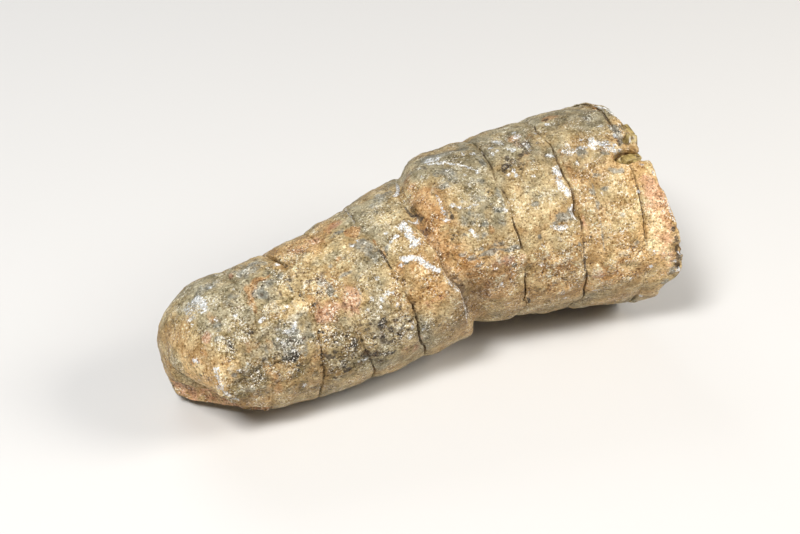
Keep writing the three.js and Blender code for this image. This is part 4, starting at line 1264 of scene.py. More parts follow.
@dataclass(frozen=True)
class Weathering:
    """The relief of the skin: lumps, bark, seams, pits and the listed marks.

    Each noise is a layer, and each bare size is the mean size of its grains, in millimetres.
    """

    lumps: tuple[Layer, ...] = (Layer(1, 13.0, 0.34), Layer(2, 5.2, 0.3))
    ledge_edge: Layer = Layer(16, 2.4, 0.25, 3)
    ledge_fade: float = 5.0
    zone_noise: Layer = Layer(9, 3.0)
    zone_edge: Edge = Edge(0.3, 1.3, 0.6)
    back_bark: tuple[Layer, float] = (Layer(8, 11.0), 0.16)
    bark_along: tuple[float, float, float] = (0.64, 0.38, 0.67)
    bark_drawn: float = 0.62
    pebble: float = 2.3
    grit: float = 1.0
    ridge: float = 3.2
    cobble: float = 3.3
    cobble_bend: Layer = Layer(12, 2.6, 0.5)
    swelling: Layer = Layer(10, 3.1, 0.2)
    seam_wander: tuple[Layer, ...] = (Layer(5, 1.8, 0.09, 2), Layer(13, 0.8, 0.06))
    back_wander: Layer = Layer(18, 6.0, 0.5)
    seam_breaks: Layer = Layer(14, 3.2, 0.7, 3)
    seam_dish: tuple[float, float] = (0.9, 0.3)
    valley_shade_and_grime: Layer = Layer(15, 2.2, 0.35, 3)
    pit: tuple[float, float] = (1.5, 0.3)

    def weather(self, skin: Skin, break_line: Ring) -> Surface:
        """Weathers the plain skin.

        Args:
            skin: The plain skin.
            break_line: Where the cast is broken across.

        Returns:
            The weathered surface.
        """
        surface = Surface(*np.zeros((4, len(skin.angle))))
        surface.rise += sum(layer.at(skin.points) for layer in self.lumps)
        self._ledges(skin, surface)
        self._bark(skin, surface)
        wander = sum(layer.at(skin.points) for layer in self.seam_wander)
        wander = wander + skin.hidden() * self.back_wander.at(skin.points)
        self._seams(skin, surface, wander)
        self._valley(skin, surface, skin.reach - break_line.at(skin.angle) + wander)
        self._pits(skin, surface)
        for lump in LUMPS:
            index, away = skin.oval(lump)
            surface.rise[index] += lump.strength * np.exp(-(away ** (2 * lump.edge)))
        for streak in filter(lambda streak: streak.height, itertools.chain(*STREAKS.values())):
            surface.rise += streak.height * hump(skin.line(streak), max(streak.half_width, 0.2) * 1.3)
        return surface

    def _zone(self, skin: Skin, zone: RoughZone) -> Array:
        """Measures a rough zone.

        Args:
            skin: The plain skin.
            zone: The zone.

        Returns:
            How far each vertex is in it, 0 to 1.
        """
        share = np.zeros(len(skin.angle))
        index, away = skin.oval(zone)
        share[index] = self.zone_edge.at(away, self.zone_noise.at(skin.points[index]))
        return share

    def _ledges(self, skin: Skin, surface: Surface) -> None:
        """Raises the skin past the ledges.

        Args:
            skin: The plain skin.
            surface: The surface, changed here.
        """
        for ledge in LEDGES:
            past = skin.reach - ledge.line.at(skin.angle) + self.ledge_edge.at(skin.points)
            step = smooth_step(past, -0.16, 0.16) * fading(past, self.ledge_fade)
            surface.rise += ledge.depth.at(skin.angle) * step

    def _bark(self, skin: Skin, surface: Surface) -> None:
        """Pebbles, grit, ridges and cobbles, darker between them with grime and painted shade, and paler on
        their crests with wear and a painted highlight.

        Args:
            skin: The plain skin.
            surface: The surface, changed here.
        """
        points = skin.points
        noise, height = self.back_bark
        bark = sum(self._zone(skin, zone) * zone.strength for zone in ROUGH_ZONES)
        bark = bark + skin.hidden() * height * smooth_step(noise.at(points), 0.0, 0.5)
        along = np.array(self.bark_along)
        drawn = points - self.bark_drawn * (points @ along)[:, None] * along
        pebbles = Grain(3).pebbles(points, self.pebble)
        grit = Grain(4).pebbles(points, self.grit)
        ridges = Grain(6).pebbles(drawn, self.ridge)
        cobbles, _ = Grain(11).cells(points + self.cobble_bend.at(points)[:, None], self.cobble)
        rough = 0.15 + bark
        mean = 0.45
        surface.rise += self.swelling.at(points)
        surface.rise += rough * (0.75 * (pebbles - mean) + 0.5 * (grit - mean))
        surface.rise += bark * (ridges - mean + 1.3 * (0.5 - cobbles))
        crevice = smooth_step(ridges, 0.2, 0.0) * np.clip(bark * 4, 0, 1)
        crevice = np.maximum(smooth_step(pebbles, 0.2, 0.0), crevice)
        # The crevices are darkened: grime and painted shade.
        surface.add_dirt_and_shade(np.clip(rough * 1.2, 0, 0.42) * crevice)
        # The crests are made paler: wear and a painted highlight.
        surface.worn = np.clip(rough * 1.3, 0, 0.5) * smooth_step((pebbles + ridges) / 2, 0.5, 0.85)
        surface.rough = np.clip(bark * 3, 0, 1)

    def _seams(self, skin: Skin, surface: Surface, wander: Array) -> None:
        """Cuts the seams between the chambers.

        Args:
            skin: The plain skin.
            surface: The surface, changed here.
            wander: How far the seams are moved.
        """
        flank = skin.flank()
        dish_width, dish_share = self.seam_dish
        broken = np.clip(0.9 + self.seam_breaks.at(skin.points), 0.4, 1.25)
        for seam in filter(None, SEAMS):
            past = skin.reach - seam.line.at(skin.angle) + wander
            depth = np.maximum(seam.depth.at(skin.angle), 0) * flank * broken
            surface.rise -= depth * (hump(past, seam.half_width) + dish_share * hump(past, dish_width))
            surface.rise += flank * seam.step * smooth_step(past, -0.15, 0.5) * fading(past, 2.5)
            surface.add_dirt_and_shade(np.clip(depth * 1.3, 0, 0.8) * hump(past, seam.half_width * 1.1))

    def _valley(self, skin: Skin, surface: Surface, past: Array) -> None:
        """Painted shade in the valley past the break, with some grime in it, and the lip before it.

        Args:
            skin: The plain skin.
            surface: The surface, changed here.
            past: Distance past the break.
        """
        near_flank, low_flank = (np.abs(turn_between(skin.angle, a)) for a in (62, 82))
        facing = 0.25 + 0.75 * smooth_step(near_flank, 100, 40)
        low_side = 0.36 + 0.25 * smooth_step(low_flank, 45, 20)
        bottom = 0.9
        valley = hump(past - bottom, 0.5 + 0.6 * (past > bottom))
        # Painted shade: the valley behind the lip is darkened, most on the lower flank, with a little noise
        # for grime.
        surface.add_dirt_and_shade((low_side + self.valley_shade_and_grime.at(skin.points)) * skin.flank() * facing * valley)
        surface.rise += skin.flank() * 0.3 * smooth_step(skin.angle, 45, 70) * hump(past + 0.7, 0.8)

    def _pits(self, skin: Skin, surface: Surface) -> None:
        """Sinks pits, the deepest in the rough zones.

        Args:
            skin: The plain skin.
            surface: The surface, changed here.
        """
        size, half_width = self.pit
        pit, chance = Grain(7).cells(skin.points, size)
        depth = 0.1 + sum(self._zone(skin, zone) * zone.pits for zone in ROUGH_ZONES)
        holes = hump(pit, half_width) * (chance > 0.45)
        surface.rise -= depth * holes
        surface.add_dirt_and_shade(np.clip(depth * 2.6, 0, 0.9) * holes)


@dataclass(frozen=True)
class Staining:
    """How the pigments lie on the skin, with ragged edges and wild patches on the hidden sides."""

    ragged: Layer = Layer(20, 1.4, 1.0, 3)
    speck_edge: Edge = Edge(0.3, 1.4, 0.6)
    spot_edge: Edge = Edge(0.4, 1.7, 0.4)
    streak_edge: Edge = Edge(0.5, 1.7, 0.6)
    least_spot: float = 0.34
    least_streak: float = 0.22
    wild_seed: int = 30
    on_good_side: float = 0.12
    more_tar: float = 0.42

    def masks(self, skin: Skin, surface: Surface, cut: Array, from_siphon: Array) -> Array:
        """The masks of all pigments.

        Args:
            skin: The skin.
            surface: Its weathered surface.
            cut: How deep the corner break cut each vertex.
            from_siphon: Distance from the siphuncle, in radii of its mouth.

        Returns:
            One column for each pigment.
        """
        ragged = self.ragged.at(skin.points)
        masks = np.zeros((len(skin.angle), len(Pigment)))
        self._wild(skin, ragged, masks)
        for pigment, spots in STAINS.items():
            self._spread(skin, spots, masks[:, pigment.value], ragged, self.spot_edge, self.least_spot)
        for pigment, streaks in STREAKS.items():
            column = masks[:, pigment.value]
            for streak in streaks:
                away = skin.line(streak) / max(streak.half_width, self.least_streak)
                column[:] = np.maximum(column, streak.strength * self.streak_edge.at(away, ragged))
        surface.add_dirt_and_shade(0.75 * smooth_step(from_siphon, 1.05, 0.7))
        for ring in MOUTH_RINGS:
            column = masks[:, ring.pigment.value]
            away = from_siphon - ring.radius + 0.2 * ragged
            column[:] = np.maximum(column, ring.strength * hump(away, ring.half_width))
        self._fresh(surface, cut, ragged, masks)
        # Grime with painted shade, and worn crests with a painted highlight, fill two masks.
        masks[:, Pigment.DIRT_AND_SHADE.value], masks[:, Pigment.WORN_AND_HIGHLIGHT.value] = surface.dirt_and_shade, surface.worn
        return np.clip(masks, 0, 1)

    @staticmethod
    def _spread(
        skin: Skin, spots: tuple[Mark, ...], column: Array, ragged: Array, edge: Edge, least: float = 0.0
    ) -> None:
        """Lays spots in one mask, where the fullest of them shows.

        Args:
            skin: The skin.
            spots: The spots.
            column: The mask, changed here.
            ragged: The noise at their edges.
            edge: Their edges.
            least: The smallest half size they are taken to have.
        """
        for spot in spots:
            index, away = skin.oval(spot, least)
            column[index] = np.maximum(column[index], spot.strength * edge.at(away, ragged[index]))

    def _wild(self, skin: Skin, ragged: Array, masks: Array) -> None:
        """Lays the wild patches, full on the hidden sides and faint on the good one.

        Args:
            skin: The skin.
            ragged: The noise at the edges.
            masks: The masks, changed here.
        """
        hidden = skin.hidden()
        speckled = np.zeros(len(skin.angle))
        self._spread(skin, SPECKLED, speckled, ragged, self.speck_edge)
        for pigment, wild in WILD.items():
            tarry = speckled * (pigment is Pigment.TAR)
            noise = Layer(self.wild_seed + pigment.value, wild.size, 1.0, 3)
            level = noise.at(skin.points) + self.more_tar * tarry
            patch = wild.strength * smooth_step(level, wild.cover, wild.cover + 0.22)
            shown = self.on_good_side + (1 - self.on_good_side) * np.maximum(hidden, tarry)
            masks[:, pigment.value] = patch * shown

    @staticmethod
    def _fresh(surface: Surface, cut: Array, ragged: Array, masks: Array) -> None:
        """Clears the stains off the fresh corner break, and gives it its own.

        Args:
            surface: The weathered surface, changed here.
            cut: How deep the corner break cut each vertex.
            ragged: The noise at the edges.
            masks: The masks, changed here.
        """
        rose, rust, tar = (masks[:, p.value] for p in (Pigment.ROSE, Pigment.RUST, Pigment.TAR))
        fresh = freshly_cut(cut)
        masks *= 1 - fresh[:, None]
        rose[:] = np.maximum(rose, fresh * 0.5)
        rust += fresh * (0.3 + 0.5 * smooth_step(ragged, 0.0, 0.3))
        tar += 0.8 * hump(cut - 0.12, 0.12) * (cut > 0)
        surface.add_dirt_and_shade(fresh * 0.42 * smooth_step(-ragged, -0.2, 0.3))


def freshly_cut(cut: Array) -> Array:
    """1 where the corner break is deep, and 0 where it took nothing."""
    return smooth_step(cut, 0.02, 0.25)


def washed(skin: Skin, spots: tuple[Mark, ...]) -> Array:
    """Broad soft spots, whose strength is added to an even 0.5.

    Args:
        skin: The skin.
        spots: The spots.

    Returns:
        A number from 0 to 1 for each vertex.
    """
    level = np.full(len(skin.angle), 0.5)
    for spot in spots:
        index, away = skin.oval(spot)
        level[index] += spot.strength * hump(away, 1.0)
    return np.clip(level, 0, 1)


# ------------------------------------------------------------------ finishes


MASK_LAYERS = ("stain_a", "stain_b", "stain_c", "rough_warm_shade")


def paint(red: int, green: int, blue: int) -> Paint:
    """The linear colour, with full alpha, of a display colour from 0 to 255."""
    linear = [((c / 255 + 0.055) / 1.055) ** 2.4 if c > 10 else c / 3295 for c in (red, green, blue)]
    return (*linear, 1.0)


class NodeSheet:
    """The nodes of one material, with a short call for each kind it uses."""

    def __init__(self, name: str) -> None:
        """Starts an empty material.

        Args:
            name: What it is called.
        """
        self.material = bpy.data.materials.new(name)
        self.material.use_nodes = True
        self.tree = self.material.node_tree
        self.tree.nodes.clear()
        self.place = self.add("ShaderNodeTexCoord").outputs["Object"]

    def add(self, kind: str, inputs: dict | None = None, **settings: object) -> bpy.types.Node:
        """Adds a node.

        Args:
            kind: The node's type.
            inputs: A value, or another node's output, for each input.
            settings: The node's own settings.

        Returns:
            The node.
        """
        node = self.tree.nodes.new(kind)
        for name, value in settings.items():
            setattr(node, name, value)
        for name, value in (inputs or {}).items():
            if isinstance(value, Socket):
                self.tree.links.new(value, node.inputs[name])
            else:
                node.inputs[name].default_value = value
        return node

    def shifted(self, shift: float) -> Socket:
        """The place in the stone, moved so that two patterns differ."""
        moved = {"Vector": self.place, "Location": (shift, shift * 0.7, -shift)}
        return self.add("ShaderNodeMapping", moved).outputs[0]

    def noise(self, size: float, detail: float, roughness: float, shift: float = 0.0) -> Socket:
        """Cloudy noise.

        Args:
            size: Size of its largest lumps, in millimetres.
            detail: How many finer layers it has.
            roughness: How strong they are.
            shift: Moves the pattern.

        Returns:
            The noise, from 0 to 1.
        """
        made = {"Scale": 1 / (size * MM), "Detail": detail, "Roughness": roughness}
        return self.add("ShaderNodeTexNoise", {"Vector": self.shifted(shift), **made}).outputs["Fac"]

    def grains(self, size: float, shift: float) -> tuple[Socket, Socket]:
        """Packed grains with bent outlines.

        Args:
            size: Size of a grain, in millimetres.
            shift: Moves the pattern.

        Returns:
            The distance from the middle of the grain, and a number from 0 to 1 for that grain.
        """
        cell = size * MM
        bend = self.add("ShaderNodeTexNoise", {"Vector": self.place, "Scale": 1.2 / cell, "Detail": 3.0})
        reach = cell * 1.1
        bent = {0: bend.outputs["Color"], 1: (reach, reach, reach), 2: self.shifted(shift)}
        place = self.add("ShaderNodeVectorMath", bent, operation="MULTIPLY_ADD").outputs[0]
        cells = self.add("ShaderNodeTexVoronoi", {"Vector": place, "Scale": 1 / cell}, feature="F1")
        chance = self.add("ShaderNodeSeparateColor", {"Color": cells.outputs["Color"]}).outputs[0]
        return cells.outputs["Distance"], chance

    def fit(self, value: Socket, low: float, high: float, start: float = 0.0, end: float = 1.0) -> Socket:
        """Maps a value smoothly, from start where it is low to end where it is high."""
        span = {"Value": value, "From Min": low, "From Max": high, "To Min": start, "To Max": end}
        return self.add("ShaderNodeMapRange", span, interpolation_type="SMOOTHSTEP").outputs["Result"]

    def math(self, operation: str, first: Socket, second: Socket | float) -> Socket:
        """The result of one operation on two values."""
        return self.add("ShaderNodeMath", {0: first, 1: second}, operation=operation).outputs[0]

    def plus(self, first: Socket, second: Socket | float) -> Socket:
        """The sum of two values."""
        return self.math("ADD", first, second)

    def minus(self, first: Socket, second: Socket | float) -> Socket:
        """The difference of two values."""
        return self.math("SUBTRACT", first, second)

    def times(self, first: Socket, second: Socket | float) -> Socket:
        """The product of two values."""
        return self.math("MULTIPLY", first, second)

    def size_of(self, value: Socket) -> Socket:
        """A value without its sign."""
        return self.math("ABSOLUTE", value, 0.0)

    def grey(self, value: Socket) -> Socket:
        """A grey of this value."""
        return self.add("ShaderNodeCombineColor", {0: value, 1: value, 2: value}).outputs[0]

    def gamma(self, colour: Socket, power: float) -> Socket:
        """A colour raised to a power."""
        return self.add("ShaderNodeGamma", {"Color": colour, "Gamma": power}).outputs[0]

    def mix(
        self, factor: Socket | float, first: Socket | Paint, second: Socket | Paint,
        blend: str = "MIX", clamped: bool = False,
    ) -> Socket:
        """Mixes two colours.

        Args:
            factor: How much of the second there is.
            first: A colour or an output.
            second: A colour or an output.
            blend: How they are mixed.
            clamped: Whether the result is kept from 0 to 1.

        Returns:
            The mixed colour.
        """
        inputs = {0: factor, 6: first, 7: second}
        mixed = self.add("ShaderNodeMix", inputs, data_type="RGBA", blend_type=blend, clamp_result=clamped)
        return mixed.outputs[2]

    def lightened(self, colour: Socket, amount: Socket) -> Socket:
        """Makes a colour lighter by an even step, as the eye sees it.

        Args:
            colour: The colour.
            amount: The step, below 0 to darken.

        Returns:
            The changed colour.
        """
        display = 2.2
        moved = self.mix(1.0, self.gamma(colour, 1 / display), self.grey(amount), "ADD", clamped=True)
        return self.gamma(moved, display)

    def masks(self, name: str) -> list[Socket]:
        """The three masks that a colour attribute of the mesh holds."""
        read = self.add("ShaderNodeAttribute", attribute_name=name).outputs["Color"]
        return list(self.add("ShaderNodeSeparateColor", {"Color": read}).outputs)[:3]

    def bump(self, height: Socket, distance: float, strength: float = 1.0) -> Socket:
        """Normals of a height map that is this many millimetres deep."""
        inputs = {"Strength": strength, "Distance": distance * MM, "Height": height}
        return self.add("ShaderNodeBump", inputs).outputs[0]

    def finish(self, sockets: dict) -> bpy.types.Material:
        """Ends the sheet with its shader.

        Args:
            sockets: Values or outputs for the shader.

        Returns:
            The material.
        """
        shader = self.add("ShaderNodeBsdfPrincipled", sockets)
        self.add("ShaderNodeOutputMaterial", {"Surface": shader.outputs[0]})
        return self.material


@dataclass(frozen=True)
class Tint:
    """How one pigment shows in the finish.

    Attributes:
        tone: Its colour.
        most: How much of the stone it can hide.
        grit: How far its edge breaks up in grains rather than in patches.
        cover: How much of a full spot it covers.
    """

    tone: Paint
    most: float
    grit: float = 0.1
    cover: float = 1.0


class StoneSheet(NodeSheet):
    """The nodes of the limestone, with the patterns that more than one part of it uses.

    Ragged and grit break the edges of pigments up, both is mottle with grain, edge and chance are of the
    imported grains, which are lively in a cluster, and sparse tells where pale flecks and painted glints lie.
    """

    def __init__(self) -> None:
        """Draws the patterns."""
        super().__init__("limestone")
        self.ragged = self.fit(self.noise(2.2, 4, 0.6, 0.037), 0.3, 0.7, -0.36, 0.36)
        self.grit = self.fit(self.noise(0.36, 3, 0.8, 0.041), 0.28, 0.72, -0.5, 0.5)
        self.mottle, self.grain = self.noise(1.7, 4, 0.65, 0.019), self.noise(0.42, 1, 0.65, 0.053)
        self.both = self.plus(self.times(self.mottle, 0.38), self.times(self.grain, 0.62))
        self.edge, self.chance = self.grains(0.33, 0.067)
        self.cluster = self.noise(3.6, 2, 0.5, 0.083)
        self.sparse = self.fit(self.cluster, 0.44, 0.6, 0.05, 1.0)
        folded = self.minus(self.noise(1.7, 3, 0.62, 0.029), 0.5)
        thin = self.fit(self.size_of(folded), 0.0, 0.022, 1.0, 0.0)
        self.crease = self.times(thin, self.fit(self.noise(3.5, 3, 0.6, 0.061), 0.46, 0.6))


@dataclass(frozen=True)
class LimestoneFinish:
    """Weathered limestone: granular, mottled, stained by the pigments of the mesh's masks, with painted light
    and shade in it too.

    The tints are in the order in which the pigments lie on the stone, under its grain.
    """

    grounds: tuple[Paint, Paint, Paint, Paint] = (
        paint(176, 163, 127), paint(198, 168, 113), paint(208, 166, 106), paint(216, 190, 137),
    )
    tints: dict[Pigment, Tint] = field(default_factory=lambda: {
        Pigment.OLIVE: Tint(paint(152, 134, 84), 0.78),
        Pigment.RUST: Tint(paint(206, 152, 88), 0.78),
        Pigment.ROSE: Tint(paint(222, 168, 130), 0.8),
        Pigment.CREAM: Tint(paint(234, 206, 152), 0.85),
        Pigment.SLATE: Tint(paint(146, 147, 137), 0.78, 0.2),
        # Pale crests: wear, and a painted highlight.
        Pigment.WORN_AND_HIGHLIGHT: Tint(paint(236, 222, 190), 0.7, 0.5),
        Pigment.TAR: Tint(paint(80, 66, 46), 0.88, 0.6),
        # Brown of grime, and of painted shade in the valley and crevices.
        Pigment.DIRT_AND_SHADE: Tint(paint(108, 78, 42), 0.8, 0.15),
    })
    chalk: Tint = Tint(paint(250, 250, 250), 0.9, 1.0, 0.76)
    chalk_shade: Paint = paint(178, 182, 184)
    dark_fleck: Paint = paint(98, 74, 36)
    # Pale grains, and painted glints of highlight.
    pale_fleck_and_glint: Paint = paint(250, 244, 230)

    def _ground(self, sheet: StoneSheet, warm: Socket) -> Socket:
        """The bare stone's colour.

        Args:
            sheet: The material's nodes.
            warm: How warm the stone is, 0 to 1.

        Returns:
            The colour.
        """
        grey, tan, orange, cream = self.grounds
        level = sheet.plus(sheet.noise(6.0, 3, 0.45), sheet.fit(warm, 0.0, 1.0, -0.24, 0.24))
        colour = sheet.mix(sheet.fit(level, 0.33, 0.58), grey, tan)
        colour = sheet.mix(sheet.fit(level, 0.48, 0.74, 0.0, 0.9), colour, orange)
        pale = sheet.fit(sheet.noise(3.6, 3, 0.5, 0.011), 0.42, 0.74, 0.0, 0.75)
        return sheet.mix(pale, colour, cream)

    @staticmethod
    def _stained(sheet: StoneSheet, colour: Socket, mask: Socket, tint: Tint, tone: Socket | Paint) -> Socket:
        """Lays one pigment over the stone.

        Args:
            sheet: The material's nodes.
            colour: The colour under it.
            mask: Where it lies.
            tint: How the pigment shows.
            tone: Its colour.

        Returns:
            The stained colour.
        """
        patchy, gritty = sheet.times(sheet.ragged, 1 - 0.7 * tint.grit), sheet.times(sheet.grit, tint.grit)
        uneven = sheet.times(sheet.plus(patchy, gritty), sheet.fit(mask, 0.0, 0.3))
        level = sheet.plus(sheet.times(mask, tint.cover), uneven)
        soft = 0.2 * (1 - tint.grit)
        return sheet.mix(sheet.fit(level, 0.32 - soft, 0.62 + soft, 0.0, tint.most), colour, tone)

    @staticmethod
    def _mottled(sheet: StoneSheet, colour: Socket, rough: Socket) -> Socket:
        """Makes grains and patches lighter and darker.

        Args:
            sheet: The material's nodes.
            colour: The colour so far.
            rough: How rough the stone is, 0 to 1.

        Returns:
            The mottled colour.
        """
        lively = sheet.times(
            sheet.fit(sheet.cluster, 0.36, 0.64, 0.75, 1.25), sheet.fit(rough, 0.0, 1.0, 0.85, 1.15)
        )
        swing = sheet.times(sheet.minus(sheet.both, 0.5), lively)
        steep = sheet.plus(sheet.times(sheet.size_of(swing), 8.0), 0.35)
        dark_grains = sheet.fit(sheet.chance, 0.0, 0.2, -0.24, 0.0)
        pale_grains = sheet.fit(sheet.chance, 0.8, 1.0, 0.0, 0.16)
        grains = sheet.plus(sheet.times(swing, steep), sheet.plus(dark_grains, pale_grains))
        patches = sheet.fit(sheet.noise(2.6, 2, 0.5, 0.097), 0.33, 0.67, -0.085, 0.085)
        return sheet.lightened(sheet.lightened(colour, grains), patches)

    def _colour(self, sheet: StoneSheet) -> Socket:
        """The whole colour of the stone.

        Args:
            sheet: The material's nodes.

        Returns:
            The colour.
        """
        *masks, rough, warm, shade = (mask for name in MASK_LAYERS for mask in sheet.masks(name))
        colour = self._ground(sheet, warm)
        for pigment, tint in self.tints.items():
            colour = self._stained(sheet, colour, masks[pigment.value], tint, tint.tone)
        colour = self._mottled(sheet, colour, rough)
        # Painted glints: sparse grains turned near white, partly pale grains and partly highlight.
        lit = sheet.times(sheet.fit(sheet.chance, 0.86, 1.0, 0.0, 0.5), sheet.sparse)
        colour = sheet.mix(lit, colour, self.pale_fleck_and_glint)
        # Painted light and shade: the shade mask makes the colour lighter and darker in broad soft patches.
        gain = sheet.fit(shade, 0.0, 1.0, 0.31, 1.07)
        colour = sheet.mix(1.0, colour, sheet.grey(gain), "MULTIPLY")
        colour = sheet.mix(sheet.times(sheet.crease, 0.6), colour, self.dark_fleck)
        dark = sheet.fit(sheet.noise(0.4, 2, 0.7, 0.071), 0.61, 0.66, 0.0, 0.8)
        colour = sheet.mix(dark, colour, self.dark_fleck)
        white = sheet.mix(sheet.fit(sheet.both, 0.42, 0.58), self.chalk_shade, self.chalk.tone)
        colour = self._stained(sheet, colour, masks[Pigment.CHALK.value], self.chalk, white)
        # Painted glints: tiny bright specks of highlight, more in the rough zones.
        glint = sheet.plus(sheet.noise(0.34, 2, 0.7, 0.093), sheet.times(rough, 0.035))
        glint = sheet.times(sheet.fit(glint, 0.615, 0.665, 0.0, 0.95), sheet.sparse)
        return sheet.mix(glint, colour, self.pale_fleck_and_glint)

    def material(self) -> bpy.types.Material:
        """Makes the material.

        Returns:
            The material.
        """
        sheet = StoneSheet()
        height = sheet.plus(sheet.times(sheet.mottle, 0.8), sheet.times(sheet.grain, 0.2))
        height = sheet.minus(height, sheet.times(sheet.crease, 0.12))
        height = sheet.minus(height, sheet.times(sheet.edge, 0.12))
        return sheet.finish({
            "Base Color": self._colour(sheet),
            "Roughness": sheet.fit(sheet.grain, 0.3, 0.7, 0.36, 0.7),
            "Specular IOR Level": 0.5,
            "Normal": sheet.bump(height, 1.0),
        })


@dataclass(frozen=True)
class CalciteFinish:
    """Honey-olive calcite, cloudy, with little light passing through it."""

    dark: Paint = paint(104, 82, 40)
    light: Paint = paint(186, 164, 104)

    def material(self) -> bpy.types.Material:
        """Makes the material.

        Returns:
            The material.
        """
        sheet = NodeSheet("calcite")
        cloudy = sheet.noise(0.9, 3, 0.6)
        return sheet.finish({
            "Base Color": sheet.mix(sheet.fit(cloudy, 0.35, 0.65), self.dark, self.light),
            "Roughness": sheet.fit(cloudy, 0.3, 0.7, 0.3, 0.5),
            "IOR": 1.55,
            "Transmission Weight": 0.2,
            "Normal": sheet.bump(sheet.noise(0.35, 2, 0.5, 0.01), 0.08, strength=0.4),
        })


@dataclass(frozen=True)
class FloorFinish:
    """A plain pale surface."""

    tone: Paint = paint(208, 206, 203)

    def material(self) -> bpy.types.Material:
        """Makes the material."""
        return NodeSheet("pale_floor").finish({"Base Color": self.tone, "Roughness": 0.6})


# ------------------------------------------------------------------ pieces


def mesh_of(name: str, shape: bmesh.types.BMesh) -> bpy.types.Mesh:
    """Makes a mesh of a shape.

    Args:
        name: What it is called.
        shape: The shape, which is used up.

    Returns:
        The mesh.
    """
    mesh = bpy.data.meshes.new(name)
    shape.to_mesh(mesh)
    shape.free()
    return mesh


def in_scene(name: str, data: bpy.types.ID) -> bpy.types.Object:
    """Puts something in the scene.

    Args:
        name: What it is called.
        data: A mesh, a light or a camera.

    Returns:
        Its object.
    """
    made = bpy.data.objects.new(name, data)
    bpy.context.scene.collection.objects.link(made)
    return made


def moved_into_frame(points: Array) -> Array:
    """Turns specimen millimetres into metres in the frame of the part."""
    frame_middle = (52.907, 0.4815, 0.45)
    return (points - np.array(frame_middle)) * MM


def read_rows(values: bpy.types.bpy_prop_collection, name: str) -> Array:
    """Reads three numbers of every vertex.

    Args:
        values: The vertices or their normals.
        name: What is read.

    Returns:
        A row for each vertex.
    """
    flat = np.zeros(len(values) * 3)
    values.foreach_get(name, flat)
    return flat.reshape(-1, 3)


